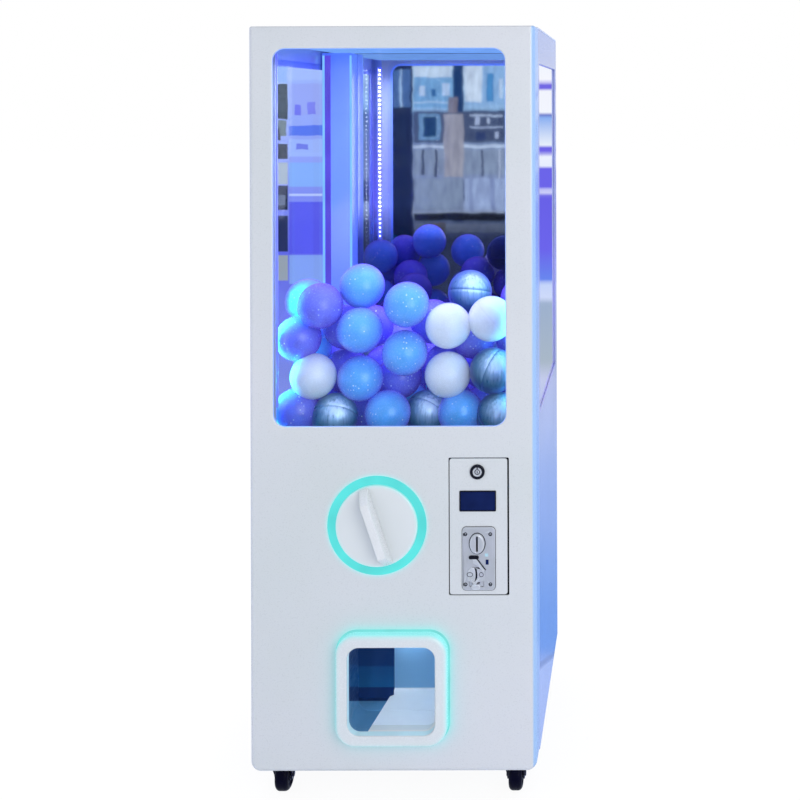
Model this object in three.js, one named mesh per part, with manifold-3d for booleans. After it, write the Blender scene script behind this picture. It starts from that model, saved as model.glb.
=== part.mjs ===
// Capsule toy vendor: a tall cabinet with a capsule chamber above and the dispensing works below.
// Millimetres, +Z up, the front faces -Y, and the origin is on the floor under the middle of the cabinet.
import * as THREE from "three";
import { mergeVertices } from "three/addons/utils/BufferGeometryUtils.js";
import Module from "manifold-3d";

const wasm = await Module();
wasm.setup();

// ---- driving dimensions ----
const HALF_W = 290; // half the cabinet's width
const FRONT = -280; // front face of the door skin
const REAR = 320; // rear face of the back panel
const BOTTOM = 78; // underside of the base frame
const TOP = 1584; // top of the roof
const SHELL_BOTTOM = 73; // lower edge of the door skin
const SKIN = 3; // sheet thickness of the door
const FIT = 0.3; // gap between a piece and the cut made for it

const DOOR_REAR = -210; // rear plane of the front door
const BODY_FRONT = -206.5; // front plane of the cabinet behind the door
const SIDE_T = 4; // side panel thickness
const BACK_T = 6; // back panel thickness
const EDGE_R = 11; // rounding of the door's front edges

const WINDOW = { x0: -242, x1: 230, z0: 772, z1: 1538, r: 26 };
const DIAL = { x: -32, z: 573, ringOuter: 100, ringInner: 83, shaft: 8 };
const COIN = { x0: 115, x1: 231.6, z0: 433, z1: 707.5, r: 1.5, gap: 2, freeGap: 3.5 };
const PLATE = { x0: 140.5, x1: 207, z0: 442, z1: 569.6, r: 8 };
const SCREEN = { x0: 135, x1: 209, z0: 601, z1: 643, r: 3 };
const LOCK = { x: 171.4, z: 681 };
const EXIT = { z: 248, half: 112, r: 40, opening: 88, openingR: 24, proud: 25 };

const LED_X = 262; // middle of each light strip beside the window
const CHAMBER = { x: 281, front: -202, rear: 296, floor: 697, top: 1550 };
const HUB = { x: -32, y: 40 }; // carousel axis
const THROAT_R = 198; // funnel throat radius
const FUNNEL_SLOPE = 0.25;
const POCKET = { ring: 130, r: 52.5, count: 5, first: (216 * Math.PI) / 180 };
const DECK_TOP = 608;
const CROWN = { teeth: 30, pitchR: 52.5, module: 3.5, inner: 46, outer: 59 };
const PINION = { teeth: 12, pitchR: 21, face: 10 };
const HINGE = { x: -284, y: -216, r: 3 }; // front door pivot axis
const HINGE_Z = [200, 1400]; // undersides of the two pivot brackets
const HINGE_EAR = 4; // bracket thickness
const CASTER = { x: 241, front: -186, rear: 236, trail: 24, wheelR: 31.5, wheelHalfW: 14 };

const COIN_BOX = { x0: 118, x1: 228, y0: -196, y1: -60, z0: 150, z1: 262 };

// ---- materials ----
function paint(color, roughness, metalness = 0) {
  return new THREE.MeshStandardMaterial({ color, roughness, metalness });
}

const WHITE = 0xd3d9e2;
const SHELL = () => paint(WHITE, 0.3);
const SIDE = () => paint(0xbfd0ee, 0.25);
const STEEL = () => paint(0x9aa0a8, 0.4, 1);
const SILVER = () => paint(0xaab2c0, 0.35, 0.9);
const BLACK = () => paint(0x15171d, 0.4);
const CLEAR = () => paint(0xcfe2f5, 0.05);
const GLOW = () => paint(0x5de8ea, 0.3);
const NYLON = () => paint(0xe6e7ea, 0.5);

// ---- shape helpers: every outline is drawn as (x, z) and becomes a solid between two y planes ----
function box(x0, x1, y0, y1, z0, z1) {
  const geometry = new THREE.BoxGeometry(x1 - x0, y1 - y0, z1 - z0);
  return geometry.translate((x0 + x1) / 2, (y0 + y1) / 2, (z0 + z1) / 2);
}

function roundedRect(x0, x1, z0, z1, r, topR = r) {
  const shape = new THREE.Shape();
  shape.moveTo(x0 + r, z0);
  shape.lineTo(x1 - r, z0);
  shape.absarc(x1 - r, z0 + r, r, -Math.PI / 2, 0);
  shape.lineTo(x1, z1 - topR);
  shape.absarc(x1 - topR, z1 - topR, topR, 0, Math.PI / 2);
  shape.lineTo(x0 + topR, z1);
  shape.absarc(x0 + topR, z1 - topR, topR, Math.PI / 2, Math.PI);
  shape.lineTo(x0, z0 + r);
  shape.absarc(x0 + r, z0 + r, r, Math.PI, Math.PI * 1.5);
  return shape;
}

function slab(shape, yFront, yRear, { segments = 3, bevel = 0, bevelSegments = 2 } = {}) {
  const depth = yRear - yFront - 2 * bevel;
  const options = {
    depth,
    curveSegments: segments,
    bevelEnabled: bevel > 0,
    bevelThickness: bevel,
    bevelSize: bevel,
    bevelOffset: -bevel,
    bevelSegments,
  };
  const geometry = new THREE.ExtrudeGeometry(shape, options);
  geometry.rotateX(Math.PI / 2);
  return geometry.translate(0, yRear - bevel, 0);
}

function circle(x, z, r) {
  const shape = new THREE.Shape();
  shape.absarc(x, z, r, 0, Math.PI * 2);
  return shape;
}

function discY(x, z, r, yFront, yRear, segments = 32) {
  const geometry = new THREE.CylinderGeometry(r, r, yRear - yFront, segments);
  return geometry.translate(x, (yFront + yRear) / 2, z);
}

function discZ(x, y, r, z0, z1, segments = 32, topR = r) {
  const geometry = new THREE.CylinderGeometry(topR, r, z1 - z0, segments);
  geometry.rotateX(Math.PI / 2);
  return geometry.translate(x, y, (z0 + z1) / 2);
}

function discX(y, z, r, x0, x1, segments = 16) {
  const geometry = new THREE.CylinderGeometry(r, r, x1 - x0, segments);
  geometry.rotateZ(Math.PI / 2);
  return geometry.translate((x0 + x1) / 2, y, z);
}

// A closed (radius, z) profile turned about a vertical axis at (x, y).
function turned(points, x, y, segments) {
  const profile = points.map(([r, z]) => new THREE.Vector2(r, z));
  const geometry = new THREE.LatheGeometry(profile, segments);
  geometry.rotateX(Math.PI / 2);
  return geometry.translate(x, y, 0);
}

// ---- joining and cutting ----
function toSolid(geometry) {
  let bare = geometry.index ? geometry.toNonIndexed() : geometry.clone();
  bare.deleteAttribute("normal");
  bare.deleteAttribute("uv");
  bare = mergeVertices(bare, 1e-4);
  const vertProperties = new Float32Array(bare.attributes.position.array);
  const triVerts = new Uint32Array(bare.index.array);
  return new wasm.Manifold(new wasm.Mesh({ numProp: 3, vertProperties, triVerts }));
}

function toGeometry(solid) {
  const mesh = solid.getMesh();
  const geometry = new THREE.BufferGeometry();
  geometry.setAttribute("position", new THREE.BufferAttribute(mesh.vertProperties, 3));
  geometry.setIndex(new THREE.BufferAttribute(mesh.triVerts, 1));
  return geometry;
}

function join(...geometries) {
  return toGeometry(geometries.map(toSolid).reduce((a, b) => a.add(b)));
}

function cut(body, ...tools) {
  return toGeometry(tools.map(toSolid).reduce((a, b) => a.subtract(b), toSolid(body)));
}

function common(a, b) {
  return toGeometry(toSolid(a).intersect(toSolid(b)));
}

const group = new THREE.Group();

function add(name, geometry, material) {
  const mesh = new THREE.Mesh(geometry, material);
  mesh.name = name;
  group.add(mesh);
  return mesh;
}

// ---- cabinet ----
function baseFrame() {
  const lip = 3;
  const floor = 4;
  const height = 30;
  const x = HALF_W - SIDE_T - FIT;
  const rear = REAR - BACK_T - FIT;
  const outer = box(-x, x, BODY_FRONT, rear, BOTTOM, BOTTOM + height);
  const inner = box(-x + lip, x - lip, BODY_FRONT + lip, rear - lip, BOTTOM + floor, BOTTOM + height + 1);
  // a raised shelf under the coin box, on one post
  const { x0, x1, y0, y1, z0 } = COIN_BOX;
  const overhang = 6;
  const shelfTop = z0 - FIT;
  const shelf = box(x0 - overhang, x1 + overhang, y0 - 4, y1 + 10, shelfTop - 4, shelfTop);
  const post = box(160, 190, -130, -118, BOTTOM + floor - 1, shelfTop - 3);
  return join(cut(outer, inner), shelf, post);
}

const SIDE_WINDOW = { y0: -176, y1: 290, z0: 772, z1: 1508 };

function sidePanel(sign) {
  const inner = HALF_W - SIDE_T;
  const roofUnderside = TOP - 4 - FIT;
  const sheet = box(inner, HALF_W, BODY_FRONT, REAR, BOTTOM, roofUnderside);
  const { y0, y1, z0, z1 } = SIDE_WINDOW;
  const opening = box(inner - 1, HALF_W + 1, y0, y1, z0, z1);
  // the front flange stops above the tray lip of the base frame
  const flange = box(inner - 28, inner + 1, BODY_FRONT, BODY_FRONT + 3, BOTTOM + 31, roofUnderside - 14);
  let panel = join(cut(sheet, opening), flange);
  if (sign < 0) {
    panel = toGeometry(toSolid(panel).mirror([1, 0, 0]));
    for (const z of HINGE_Z) {
      const ear = box(-HALF_W + 1, -HALF_W + 28, HINGE.y - 8, BODY_FRONT + 1, z, z + HINGE_EAR);
      const bore = discZ(HINGE.x, HINGE.y, HINGE.r + FIT, z - 1, z + HINGE_EAR + 1, 20);
      panel = cut(join(panel, ear), bore);
    }
  }
  return panel;
}

function roofPanel() {
  const plate = box(-HALF_W, HALF_W, BODY_FRONT, REAR, TOP - 4, TOP);
  const x = HALF_W - SIDE_T - FIT;
  const lipOuter = box(-x, x, BODY_FRONT, REAR - BACK_T - FIT, TOP - 16, TOP - 3);
  const lipInner = box(-x + 3, x - 3, BODY_FRONT + 3, REAR - BACK_T - 3.3, TOP - 17, TOP - 4);
  return join(plate, cut(lipOuter, lipInner));
}

const REAR_DOOR = { x: 252, z0: 119, z1: 457, gap: 3, pinX: 249, pinR: 1.5 };

function backPanel() {
  const x = HALF_W - SIDE_T - FIT;
  const sheet = box(-x, x, REAR - BACK_T, REAR, BOTTOM, TOP - 4 - FIT);
  const d = REAR_DOOR;
  const doorway = box(-d.x - d.gap, d.x + d.gap, REAR - BACK_T - 1, REAR + 1, d.z0 - d.gap, d.z1 + d.gap);
  const pinHoles = discZ(d.pinX, REAR - BACK_T / 2, d.pinR + 0.1, d.z0 - 9, d.z1 + 9, 16);
  return cut(sheet, doorway, pinHoles);
}

function sideGlass(sign) {
  const x = [281.7, 285.7].map((v) => v * sign);
  return box(Math.min(...x), Math.max(...x), -190, 300, 758, 1522);
}

function backMirror() {
  return box(-CHAMBER.x, CHAMBER.x, CHAMBER.rear + FIT, CHAMBER.rear + 4, 756, CHAMBER.top);
}

function innerFrontGlass() {
  return box(-CHAMBER.x, CHAMBER.x, CHAMBER.front - 1, CHAMBER.front + 3, 716, CHAMBER.top);
}

function ceilingLight() {
  return box(-258, 258, -170, 280, CHAMBER.top + FIT, CHAMBER.top + 10);
}

function ledStrip(sign) {
  const x = LED_X * sign;
  return box(x - 6, x + 6, CHAMBER.front + 3.4, CHAMBER.front + 8, 790, 1530);
}

function cornerPost(sign) {
  const x = [208, CHAMBER.x].map((v) => v * sign);
  return slab(
    roundedRect(Math.min(...x), Math.max(...x), 756, CHAMBER.top - FIT, 1),
    236,
    CHAMBER.rear,
    { segments: 1 },
  );
}

// ---- capsule store ----
function funnelHeight(radius) {
  return CHAMBER.floor + FUNNEL_SLOPE * (radius - THROAT_R);
}

function hopperFunnel() {
  const wall = 4;
  const far = 440;
  const profile = [
    [THROAT_R, DECK_TOP + 2],
    [THROAT_R + wall, DECK_TOP + 2],
    [THROAT_R + wall, CHAMBER.floor - wall],
    [far, funnelHeight(far) - wall],
    [far, funnelHeight(far)],
    [THROAT_R, CHAMBER.floor],
    [THROAT_R, DECK_TOP + 2],
  ];
  const bowl = turned(profile, HUB.x, HUB.y, 40);
  const x = CHAMBER.x - FIT;
  return common(bowl, box(-x, x, CHAMBER.front + 3.5, CHAMBER.rear, 600, 800));
}

function pocketCentres() {
  const centres = [];
  for (let i = 0; i < POCKET.count; i++) {
    const angle = POCKET.first + (i * Math.PI * 2) / POCKET.count;
    centres.push([HUB.x + POCKET.ring * Math.cos(angle), HUB.y + POCKET.ring * Math.sin(angle)]);
  }
  return centres;
}

function carouselDeck() {
  const plate = box(-262, 198, -190, 270, DECK_TOP - 6, DECK_TOP);
  const [dropX, dropY] = pocketCentres()[0];
  const drop = discZ(dropX, dropY, POCKET.r + 1.5, DECK_TOP - 7, DECK_TOP + 1);
  const shaftHole = discZ(HUB.x, HUB.y, DIAL.shaft + FIT, DECK_TOP - 7, DECK_TOP + 1, 24);
  return cut(plate, drop, shaftHole);
}

const ROTOR = { r: 195, z0: DECK_TOP + 2, z1: DECK_TOP + 66 };

function carousel() {
  const body = discZ(HUB.x, HUB.y, ROTOR.r, ROTOR.z0, ROTOR.z1, 48);
  const pockets = pocketCentres().map(([x, y]) => discZ(x, y, POCKET.r, ROTOR.z0 - 1, ROTOR.z1 + 1, 28));
  const bore = discZ(HUB.x, HUB.y, DIAL.shaft + FIT, ROTOR.z0 - 1, ROTOR.z1 + 1, 24);
  return cut(body, ...pockets, bore);
}

function agitator() {
  const z0 = ROTOR.z1 + FIT;
  const cone = discZ(HUB.x, HUB.y, 58, z0, z0 + 26, 32, 16);
  const bore = discZ(HUB.x, HUB.y, DIAL.shaft + FIT, z0 - 1, z0 + 14, 24);
  const fin = box(HUB.x - 52, HUB.x + 52, HUB.y - 4, HUB.y + 4, z0 + 2, z0 + 20);
  return cut(join(cone, fin), bore);
}

function capsulePile() {
  // a heap of capsules as one solid: a sloping core with capsule crowns round its top and front
  const capsuleR = 48;
  const x = CHAMBER.x - 3;
  const front = CHAMBER.front + 12;
  const rear = 232;
  const outline = new THREE.Shape();
  outline.moveTo(front, 700);
  outline.lineTo(rear, 700);
  outline.lineTo(rear, 1090);
  outline.lineTo(60, 1060);
  outline.lineTo(front, 1000);
  const core = new THREE.ExtrudeGeometry(outline, { depth: 2 * x - 8, bevelEnabled: false });
  core.rotateX(Math.PI / 2).rotateZ(Math.PI / 2).translate(-(x - 4), 0, 0);
  const hollow = box(-x + 24, x - 24, front + 22, rear - 20, 600, 968);
  const crowns = [];
  const perRow = 5;
  const pitch = (2 * (x - capsuleR)) / (perRow - 1);
  for (let row = 0; row < 4; row++) {
    const y = front + capsuleR + row * 106;
    const z = 992 + row * 30;
    for (let i = 0; i < perRow; i++) {
      const crown = new THREE.IcosahedronGeometry(capsuleR, 1);
      const sway = 9 * Math.sin(3.1 * i + 1.7 * row);
      crown.translate(-(x - capsuleR) + i * pitch, Math.min(y, rear - 30), z + sway);
      crowns.push(crown);
    }
  }
  const clearance = 3;
  const under = turned(
    [
      [0, 600],
      [430, 600],
      [430, funnelHeight(430) + clearance],
      [THROAT_R + 10, CHAMBER.floor + 5 + clearance],
      [120, CHAMBER.floor + 8 + clearance],
      [0, CHAMBER.floor + 12 + clearance],
    ],
    HUB.x,
    HUB.y,
    24,
  );
  return cut(join(core, ...crowns), under, hollow);
}

// ---- dispensing works ----
function dropChute() {
  const [x, y] = pocketCentres()[0];
  const inner = POCKET.r + 0.5;
  const profile = [
    [inner, 338],
    [inner + 2, 338],
    [inner + 2, DECK_TOP - 6 - FIT],
    [inner, DECK_TOP - 6 - FIT],
    [inner, 338],
  ];
  return turned(profile, x, y, 32);
}

function exitBox() {
  // an L in plan: capsules land at the back left and roll forward to the mouth
  const wall = 3;
  const z0 = EXIT.z - EXIT.opening;
  const z1 = 337.5;
  const front = BODY_FRONT + 4;
  const [left, step, right] = [-200, -76, 96];
  const [backRight, backLeft] = [-118, 24];
  const plan = (o) => {
    const shape = new THREE.Shape();
    shape.moveTo(left - o, front - o);
    shape.lineTo(right + o, front - o);
    shape.lineTo(right + o, backRight + o);
    shape.lineTo(step + o, backRight + o);
    shape.lineTo(step + o, backLeft + o);
    shape.lineTo(left - o, backLeft + o);
    return shape;
  };
  const rise = (shape, low, high) => {
    const geometry = new THREE.ExtrudeGeometry(shape, { depth: high - low, bevelEnabled: false });
    return geometry.translate(0, 0, low);
  };
  const outer = rise(plan(wall), z0 - wall, z1);
  const inner = rise(plan(0), z0, z1 - wall);
  const mouthHalf = EXIT.opening + 4;
  const mouth = box(-mouthHalf, mouthHalf, front - wall - 1, front + 1, z0, z1 - wall);
  const [x, y] = pocketCentres()[0];
  const inlet = discZ(x, y, POCKET.r + 0.5, z1 - wall - 1, z1 + 1);
  const rampHeight = 26;
  const wedge = new THREE.Shape();
  wedge.moveTo(backRight, z0 - 1);
  wedge.lineTo(backLeft + 1, z0 - 1);
  wedge.lineTo(backLeft + 1, z0 + rampHeight);
  const ramp = new THREE.ExtrudeGeometry(wedge, { depth: step - left + 2, bevelEnabled: false });
  ramp.rotateX(Math.PI / 2).rotateZ(Math.PI / 2).translate(left - 1, 0, 0);
  return join(cut(outer, inner, mouth, inlet), ramp);
}

function shaftBracket() {
  const top = DECK_TOP - 6 - FIT;
  const bridge = box(HUB.x - 22, HUB.x + 22, -150, -26, top - 6, top);
  const front = box(HUB.x - 22, HUB.x + 22, -150, -138, 556, top - 5);
  const back = box(HUB.x - 22, HUB.x + 22, -38, -26, 556, top - 5);
  const bore = discY(DIAL.x, DIAL.z, DIAL.shaft + 0.2, -151, -25, 24);
  return cut(join(bridge, front, back), bore);
}

function lowerBearing() {
  const top = DECK_TOP - 6 - FIT;
  const leg = box(HUB.x - 16, HUB.x + 16, 108, 114, 512, top);
  const arm = box(HUB.x - 16, HUB.x + 16, 24, 109, 512, 518);
  const foot = box(HUB.x - 16, HUB.x + 16, 108, 134, top - 5, top);
  const boss = discZ(HUB.x, HUB.y, 15, 517, 534, 24);
  const bore = discZ(HUB.x, HUB.y, DIAL.shaft + 0.2, 519, 535, 24);
  return cut(join(leg, arm, foot, boss), bore);
}

function driveShaft() {
  // a grooved socket faces the door and takes the dial shaft's flat tongue
  const shaft = discY(DIAL.x, DIAL.z, DIAL.shaft, -209, -2, 24);
  const socket = discY(DIAL.x, DIAL.z, 13, -224, -208, 24);
  const groove = box(DIAL.x - 14, DIAL.x + 14, -225, -211, DIAL.z - 3.6, DIAL.z + 3.6);
  return cut(join(shaft, socket), groove);
}

function pinion() {
  const { teeth, pitchR, face } = PINION;
  const rise = 0.8 * CROWN.module;
  const depth = 1.2 * CROWN.module;
  const halfRoot = 2.9;
  const halfTip = 1.5;
  const middle = HUB.y - CROWN.pitchR;
  const shape = new THREE.Shape();
  for (let i = 0; i < teeth; i++) {
    const angle = -Math.PI / 2 + (i * Math.PI * 2) / teeth;
    const corners = [
      [pitchR - depth, -halfRoot],
      [pitchR + rise, -halfTip],
      [pitchR + rise, halfTip],
      [pitchR - depth, halfRoot],
    ];
    for (const [r, s] of corners) {
      const px = r * Math.cos(angle) - s * Math.sin(angle);
      const pz = r * Math.sin(angle) + s * Math.cos(angle);
      if (shape.curves.length === 0 && shape.currentPoint.length() === 0) shape.moveTo(px, pz);
      else shape.lineTo(px, pz);
    }
  }
  const gear = slab(shape, middle - face / 2, middle + face / 2);
  gear.translate(DIAL.x, 0, DIAL.z);
  const hub = discY(DIAL.x, DIAL.z, 13, middle + face / 2 - 1, middle + face / 2 + 5, 24);
  const bore = discY(DIAL.x, DIAL.z, DIAL.shaft + FIT, middle - 20, middle + 20, 24);
  return cut(join(gear, hub), bore);
}

function crownGear() {
  const { teeth, pitchR, module: m, inner, outer } = CROWN;
  const pitchZ = DIAL.z - PINION.pitchR;
  const rootZ = pitchZ - 1.2 * m;
  const tipZ = pitchZ + 0.8 * m;
  const plate = discZ(HUB.x, HUB.y, outer, rootZ - 7, rootZ, 60);
  const hub = discZ(HUB.x, HUB.y, 16, rootZ - 7, rootZ + 10, 24);
  const bore = discZ(HUB.x, HUB.y, DIAL.shaft + FIT, rootZ - 8, rootZ + 11, 24);
  const tooth = new THREE.Shape();
  tooth.moveTo(-2.9, rootZ - 1);
  tooth.lineTo(2.9, rootZ - 1);
  tooth.lineTo(1.4, tipZ);
  tooth.lineTo(-1.4, tipZ);
  const solids = [plate, hub];
  for (let i = 0; i < teeth; i++) {
    const geometry = slab(tooth, inner - pitchR, outer - 1 - pitchR);
    geometry.translate(0, pitchR, 0);
    geometry.rotateZ(((i + 0.5) * Math.PI * 2) / teeth);
    solids.push(geometry.translate(HUB.x, HUB.y, 0));
  }
  return cut(join(...solids), bore);
}

// ---- front door ----
function frontShell() {
  const bevel = EDGE_R;
  const [low, high] = [SHELL_BOTTOM, TOP - 1];
  const outline = roundedRect(-HALF_W, HALF_W, low, high, 21, 12);
  const outer = slab(outline, FRONT, DOOR_REAR + 40, { segments: 3, bevel, bevelSegments: 3 });
  const inside = roundedRect(-HALF_W + SKIN, HALF_W - SKIN, low + SKIN, high - SKIN, 18, 9);
  const inner = slab(inside, FRONT + SKIN, DOOR_REAR + 40, { segments: 2, bevel: 8, bevelSegments: 2 });
  const behind = box(-400, 400, DOOR_REAR, DOOR_REAR + 100, 0, 1700);
  const w = WINDOW;
  const through = [FRONT - 5, FRONT + 20];
  const window = slab(roundedRect(w.x0, w.x1, w.z0, w.z1, w.r), ...through);
  const dial = discY(DIAL.x, DIAL.z, DIAL.ringOuter + FIT, ...through, 48);
  const c = COIN;
  const coin = slab(
    roundedRect(c.x0 - c.gap, c.x1 + c.freeGap, c.z0 - c.gap, c.z1 + c.gap, c.r + c.gap),
    ...through,
    { segments: 3 },
  );
  const e = 92 + FIT;
  const exit = slab(roundedRect(-e, e, EXIT.z - e, EXIT.z + e, EXIT.openingR + 3), ...through);
  let shell = cut(outer, inner, behind, window, dial, coin, exit);
  for (const z of HINGE_Z) {
    // the bracket passes through a slot in the flange, and a lug above it takes the pin
    const lugZ = z + HINGE_EAR + 2.5;
    const slot = box(-HALF_W - 1, -HALF_W + 6, DOOR_REAR - 16, DOOR_REAR + 1, z - 4, lugZ - 0.5);
    const lug = box(-HALF_W + 2, HINGE.x + 12, HINGE.y - 12, HINGE.y + 5, lugZ, z + 20);
    const bore = discZ(HINGE.x, HINGE.y, HINGE.r + FIT, lugZ - 1, z + 21, 20);
    shell = cut(join(cut(shell, slot), lug), bore);
  }
  return shell;
}

function hingePin(z) {
  const shank = discZ(HINGE.x, HINGE.y, HINGE.r, z - 1, z + 18, 20);
  const head = discZ(HINGE.x, HINGE.y, 5, z - 3, z - FIT, 20);
  return join(shank, head);
}

function windowGlass() {
  const lap = 13;
  const { x0, x1, z0, z1, r } = WINDOW;
  const outline = roundedRect(x0 - lap, x1 + lap, z0 - lap, z1 + lap, r);
  return slab(outline, FRONT + SKIN + FIT, FRONT + SKIN + FIT + 4, { segments: 3 });
}

function exitFrame() {
  const { z, half, r, opening, openingR, proud } = EXIT;
  const base = FRONT - 3.6;
  const face = slab(
    roundedRect(-half, half, z - half, z + half, r),
    FRONT - proud,
    base + 6,
    { segments: 4, bevel: 6, bevelSegments: 2 },
  );
  const ahead = box(-200, 200, FRONT - proud - 1, base, z - 200, z + 200);
  const s = opening + 4;
  const sleeve = slab(roundedRect(-s, s, z - s, z + s, openingR + 4), base - 1, DOOR_REAR - 3);
  const o = opening;
  const hole = slab(roundedRect(-o, o, z - o, z + o, openingR), FRONT - proud - 2, DOOR_REAR + 1);
  // the flap's pivot stubs turn in two small side bores
  const pivot = discX(FLAP.y, FLAP.z, 2.2, -opening - 3, opening + 3);
  return cut(join(common(face, ahead), sleeve), hole, pivot);
}

const FLAP = { y: -287, z: EXIT.z + 80, halfW: 84, bottom: EXIT.z - 84, t: 3 };

function exitFlap() {
  const { y, z, halfW, bottom, t } = FLAP;
  const pane = slab(roundedRect(-halfW, halfW, bottom, z + 4, 20), y - t / 2, y + t / 2);
  return join(pane, discX(y, z, 2, -EXIT.opening - 2.5, EXIT.opening + 2.5));
}

function exitLightRing() {
  const outer = 115;
  const inner = 95;
  const shape = roundedRect(-outer, outer, EXIT.z - outer, EXIT.z + outer, 43);
  const hole = roundedRect(-inner, inner, EXIT.z - inner, EXIT.z + inner, 30);
  const band = slab(shape, FRONT - 3.3, FRONT - FIT, { segments: 4 });
  return cut(band, slab(hole, FRONT - 6, FRONT + 2, { segments: 4 }));
}

function dialLightRing() {
  const { x, z, ringOuter, ringInner } = DIAL;
  const shape = circle(x, z, ringOuter);
  shape.holes.push(circle(x, z, ringInner));
  return slab(shape, FRONT - 1.5, FRONT + SKIN, { segments: 24 });
}

function dialBush() {
  const { x, z, shaft } = DIAL;
  const back = FRONT + SKIN + FIT;
  const plate = discY(x, z, 108, back, back + 4, 40);
  const boss = discY(x, z, 18, back + 3, back + 36, 24);
  return cut(join(plate, boss), discY(x, z, shaft + 0.2, back - 1, back + 40, 24));
}

function dialDisc() {
  const { x, z, ringInner, shaft } = DIAL;
  const disc = discY(x, z, ringInner - FIT, FRONT - 6, FRONT + SKIN - FIT, 48);
  return cut(disc, discY(x, z, shaft + FIT, FRONT - 1, FRONT + SKIN, 24));
}

// The grip is a bar across the dial, narrower at its crest, with ramped ends.
const LEAN = (18.6 * Math.PI) / 180; // how far the bar leans from upright at rest
const GRIP = { crest: 33.7, baseHalf: 9.5, crestHalf: 8, reach: 80.5, ramp: 24 };

function dialGrip() {
  const { crest, baseHalf, crestHalf, reach, ramp } = GRIP;
  const profile = new THREE.Shape();
  profile.moveTo(-baseHalf, 0);
  profile.lineTo(baseHalf, 0);
  profile.lineTo(crestHalf, crest);
  profile.lineTo(-crestHalf, crest);
  const bar = new THREE.ExtrudeGeometry(profile, { depth: 2 * reach, bevelEnabled: false });
  bar.translate(0, 0, -reach);
  const side = new THREE.Shape();
  side.moveTo(-reach, 0);
  side.lineTo(reach, 0);
  side.lineTo(reach - 2, 4);
  side.lineTo(reach - ramp, crest);
  side.lineTo(-reach + ramp, crest);
  side.lineTo(-reach + 2, 4);
  const ramps = new THREE.ExtrudeGeometry(side, { depth: 60, bevelEnabled: false });
  ramps.translate(0, 0, -30).rotateY(-Math.PI / 2);
  const grip = common(bar, ramps);
  // the profile's height becomes -Y, its length becomes Z
  grip.applyMatrix4(new THREE.Matrix4().set(-1, 0, 0, 0, 0, -1, 0, 0, 0, 0, 1, 0, 0, 0, 0, 1));
  grip.rotateY(-LEAN);
  return grip.translate(DIAL.x, FRONT - 6 - FIT, DIAL.z);
}

function dialShaft() {
  const { x, z, shaft } = DIAL;
  const rod = discY(x, z, shaft, FRONT - FIT, -226, 24);
  const tongue = box(x - 7.5, x + 7.5, -227, -213, z - 3, z + 3);
  const tip = common(tongue, discY(x, z, 8, -230, -210, 24));
  return join(rod, tip);
}

// ---- coin door ----
function coinDoorPanel() {
  const { x0, x1, z0, z1, r } = COIN;
  const face = slab(roundedRect(x0, x1, z0, z1, r), FRONT, FRONT + SKIN, { segments: 3 });
  const mech = box(146, 201, FRONT - 5, FRONT + 9, 448, 564);
  const screen = box(SCREEN.x0 + 2, SCREEN.x1 - 2, FRONT - 5, FRONT + 9, SCREEN.z0 + 2, SCREEN.z1 - 2);
  const lock = discY(LOCK.x, LOCK.z, 11 + FIT, FRONT - 5, FRONT + 9, 24);
  return cut(face, mech, screen, lock);
}

function displayScreen() {
  const { x0, x1, z0, z1, r } = SCREEN;
  const lens = slab(roundedRect(x0, x1, z0, z1, r), FRONT - 1.8, FRONT - FIT, { segments: 3 });
  const bodyBox = box(x0 + 3, x1 - 3, FRONT - 1, FRONT + 14, z0 + 3, z1 - 3);
  return join(lens, bodyBox);
}

const SLOT = { x: 171, z: 537, halfW: 2, halfH: 15.5 };
const REJECT = { x: 164, z: 509, halfW: 10, r: 3.5 };
const CUP = { x0: 155, x1: 184, z0: 449, z1: 474 };

function coinPlate() {
  const { x0, x1, z0, z1, r } = PLATE;
  const plate = slab(roundedRect(x0, x1, z0, z1, r), FRONT - 3, FRONT - FIT, { segments: 3 });
  const oval = new THREE.Shape();
  oval.absellipse(SLOT.x, SLOT.z, SLOT.halfW + 14.5, SLOT.halfH + 6, 0, Math.PI * 2);
  const bezel = slab(oval, FRONT - 9, FRONT - 2, { segments: 12 });
  const { x, z, halfW, halfH } = SLOT;
  const slot = box(x - halfW, x + halfW, FRONT - 12, FRONT + 2, z - halfH, z + halfH);
  const g = REJECT.r + 0.3;
  const button = roundedRect(
    REJECT.x - REJECT.halfW - 0.3,
    REJECT.x + REJECT.halfW + 0.3,
    REJECT.z - g,
    REJECT.z + g,
    g - 0.01,
  );
  const buttonHole = slab(button, FRONT - 6, FRONT + 2, { segments: 4 });
  const cup = box(CUP.x0, CUP.x1, FRONT - 6, FRONT + 2, CUP.z0, CUP.z1);
  return cut(join(plate, bezel), slot, buttonHole, cup);
}

function coinAcceptorBody() {
  const front = FRONT + 4;
  const body = box(148, 199, front, front + 50, 450, 562);
  const path = box(SLOT.x - 2.5, SLOT.x + 2.5, front - 1, front + 36, 480, SLOT.z + 16);
  const tray = box(CUP.x0 - 1, CUP.x1 + 1, front - 1, front + 30, 449, CUP.z1 + 5);
  return cut(body, path, tray);
}

function rejectButton() {
  const { x, z, halfW, r } = REJECT;
  const pill = roundedRect(x - halfW, x + halfW, z - r, z + r, r - 0.01);
  return slab(pill, FRONT - 5.5, FRONT - FIT - 0.3, { segments: 4 });
}

function coinReturnFlap() {
  const z = CUP.z1 - 3;
  const pane = box(CUP.x0 + 0.6, CUP.x1 - 0.6, FRONT - 2, FRONT - 0.6, CUP.z0 + 1, CUP.z1 - 1.5);
  return join(pane, discX(FRONT - 1.3, z, 1.2, CUP.x0 + 0.4, CUP.x1 - 0.4, 12));
}

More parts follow.
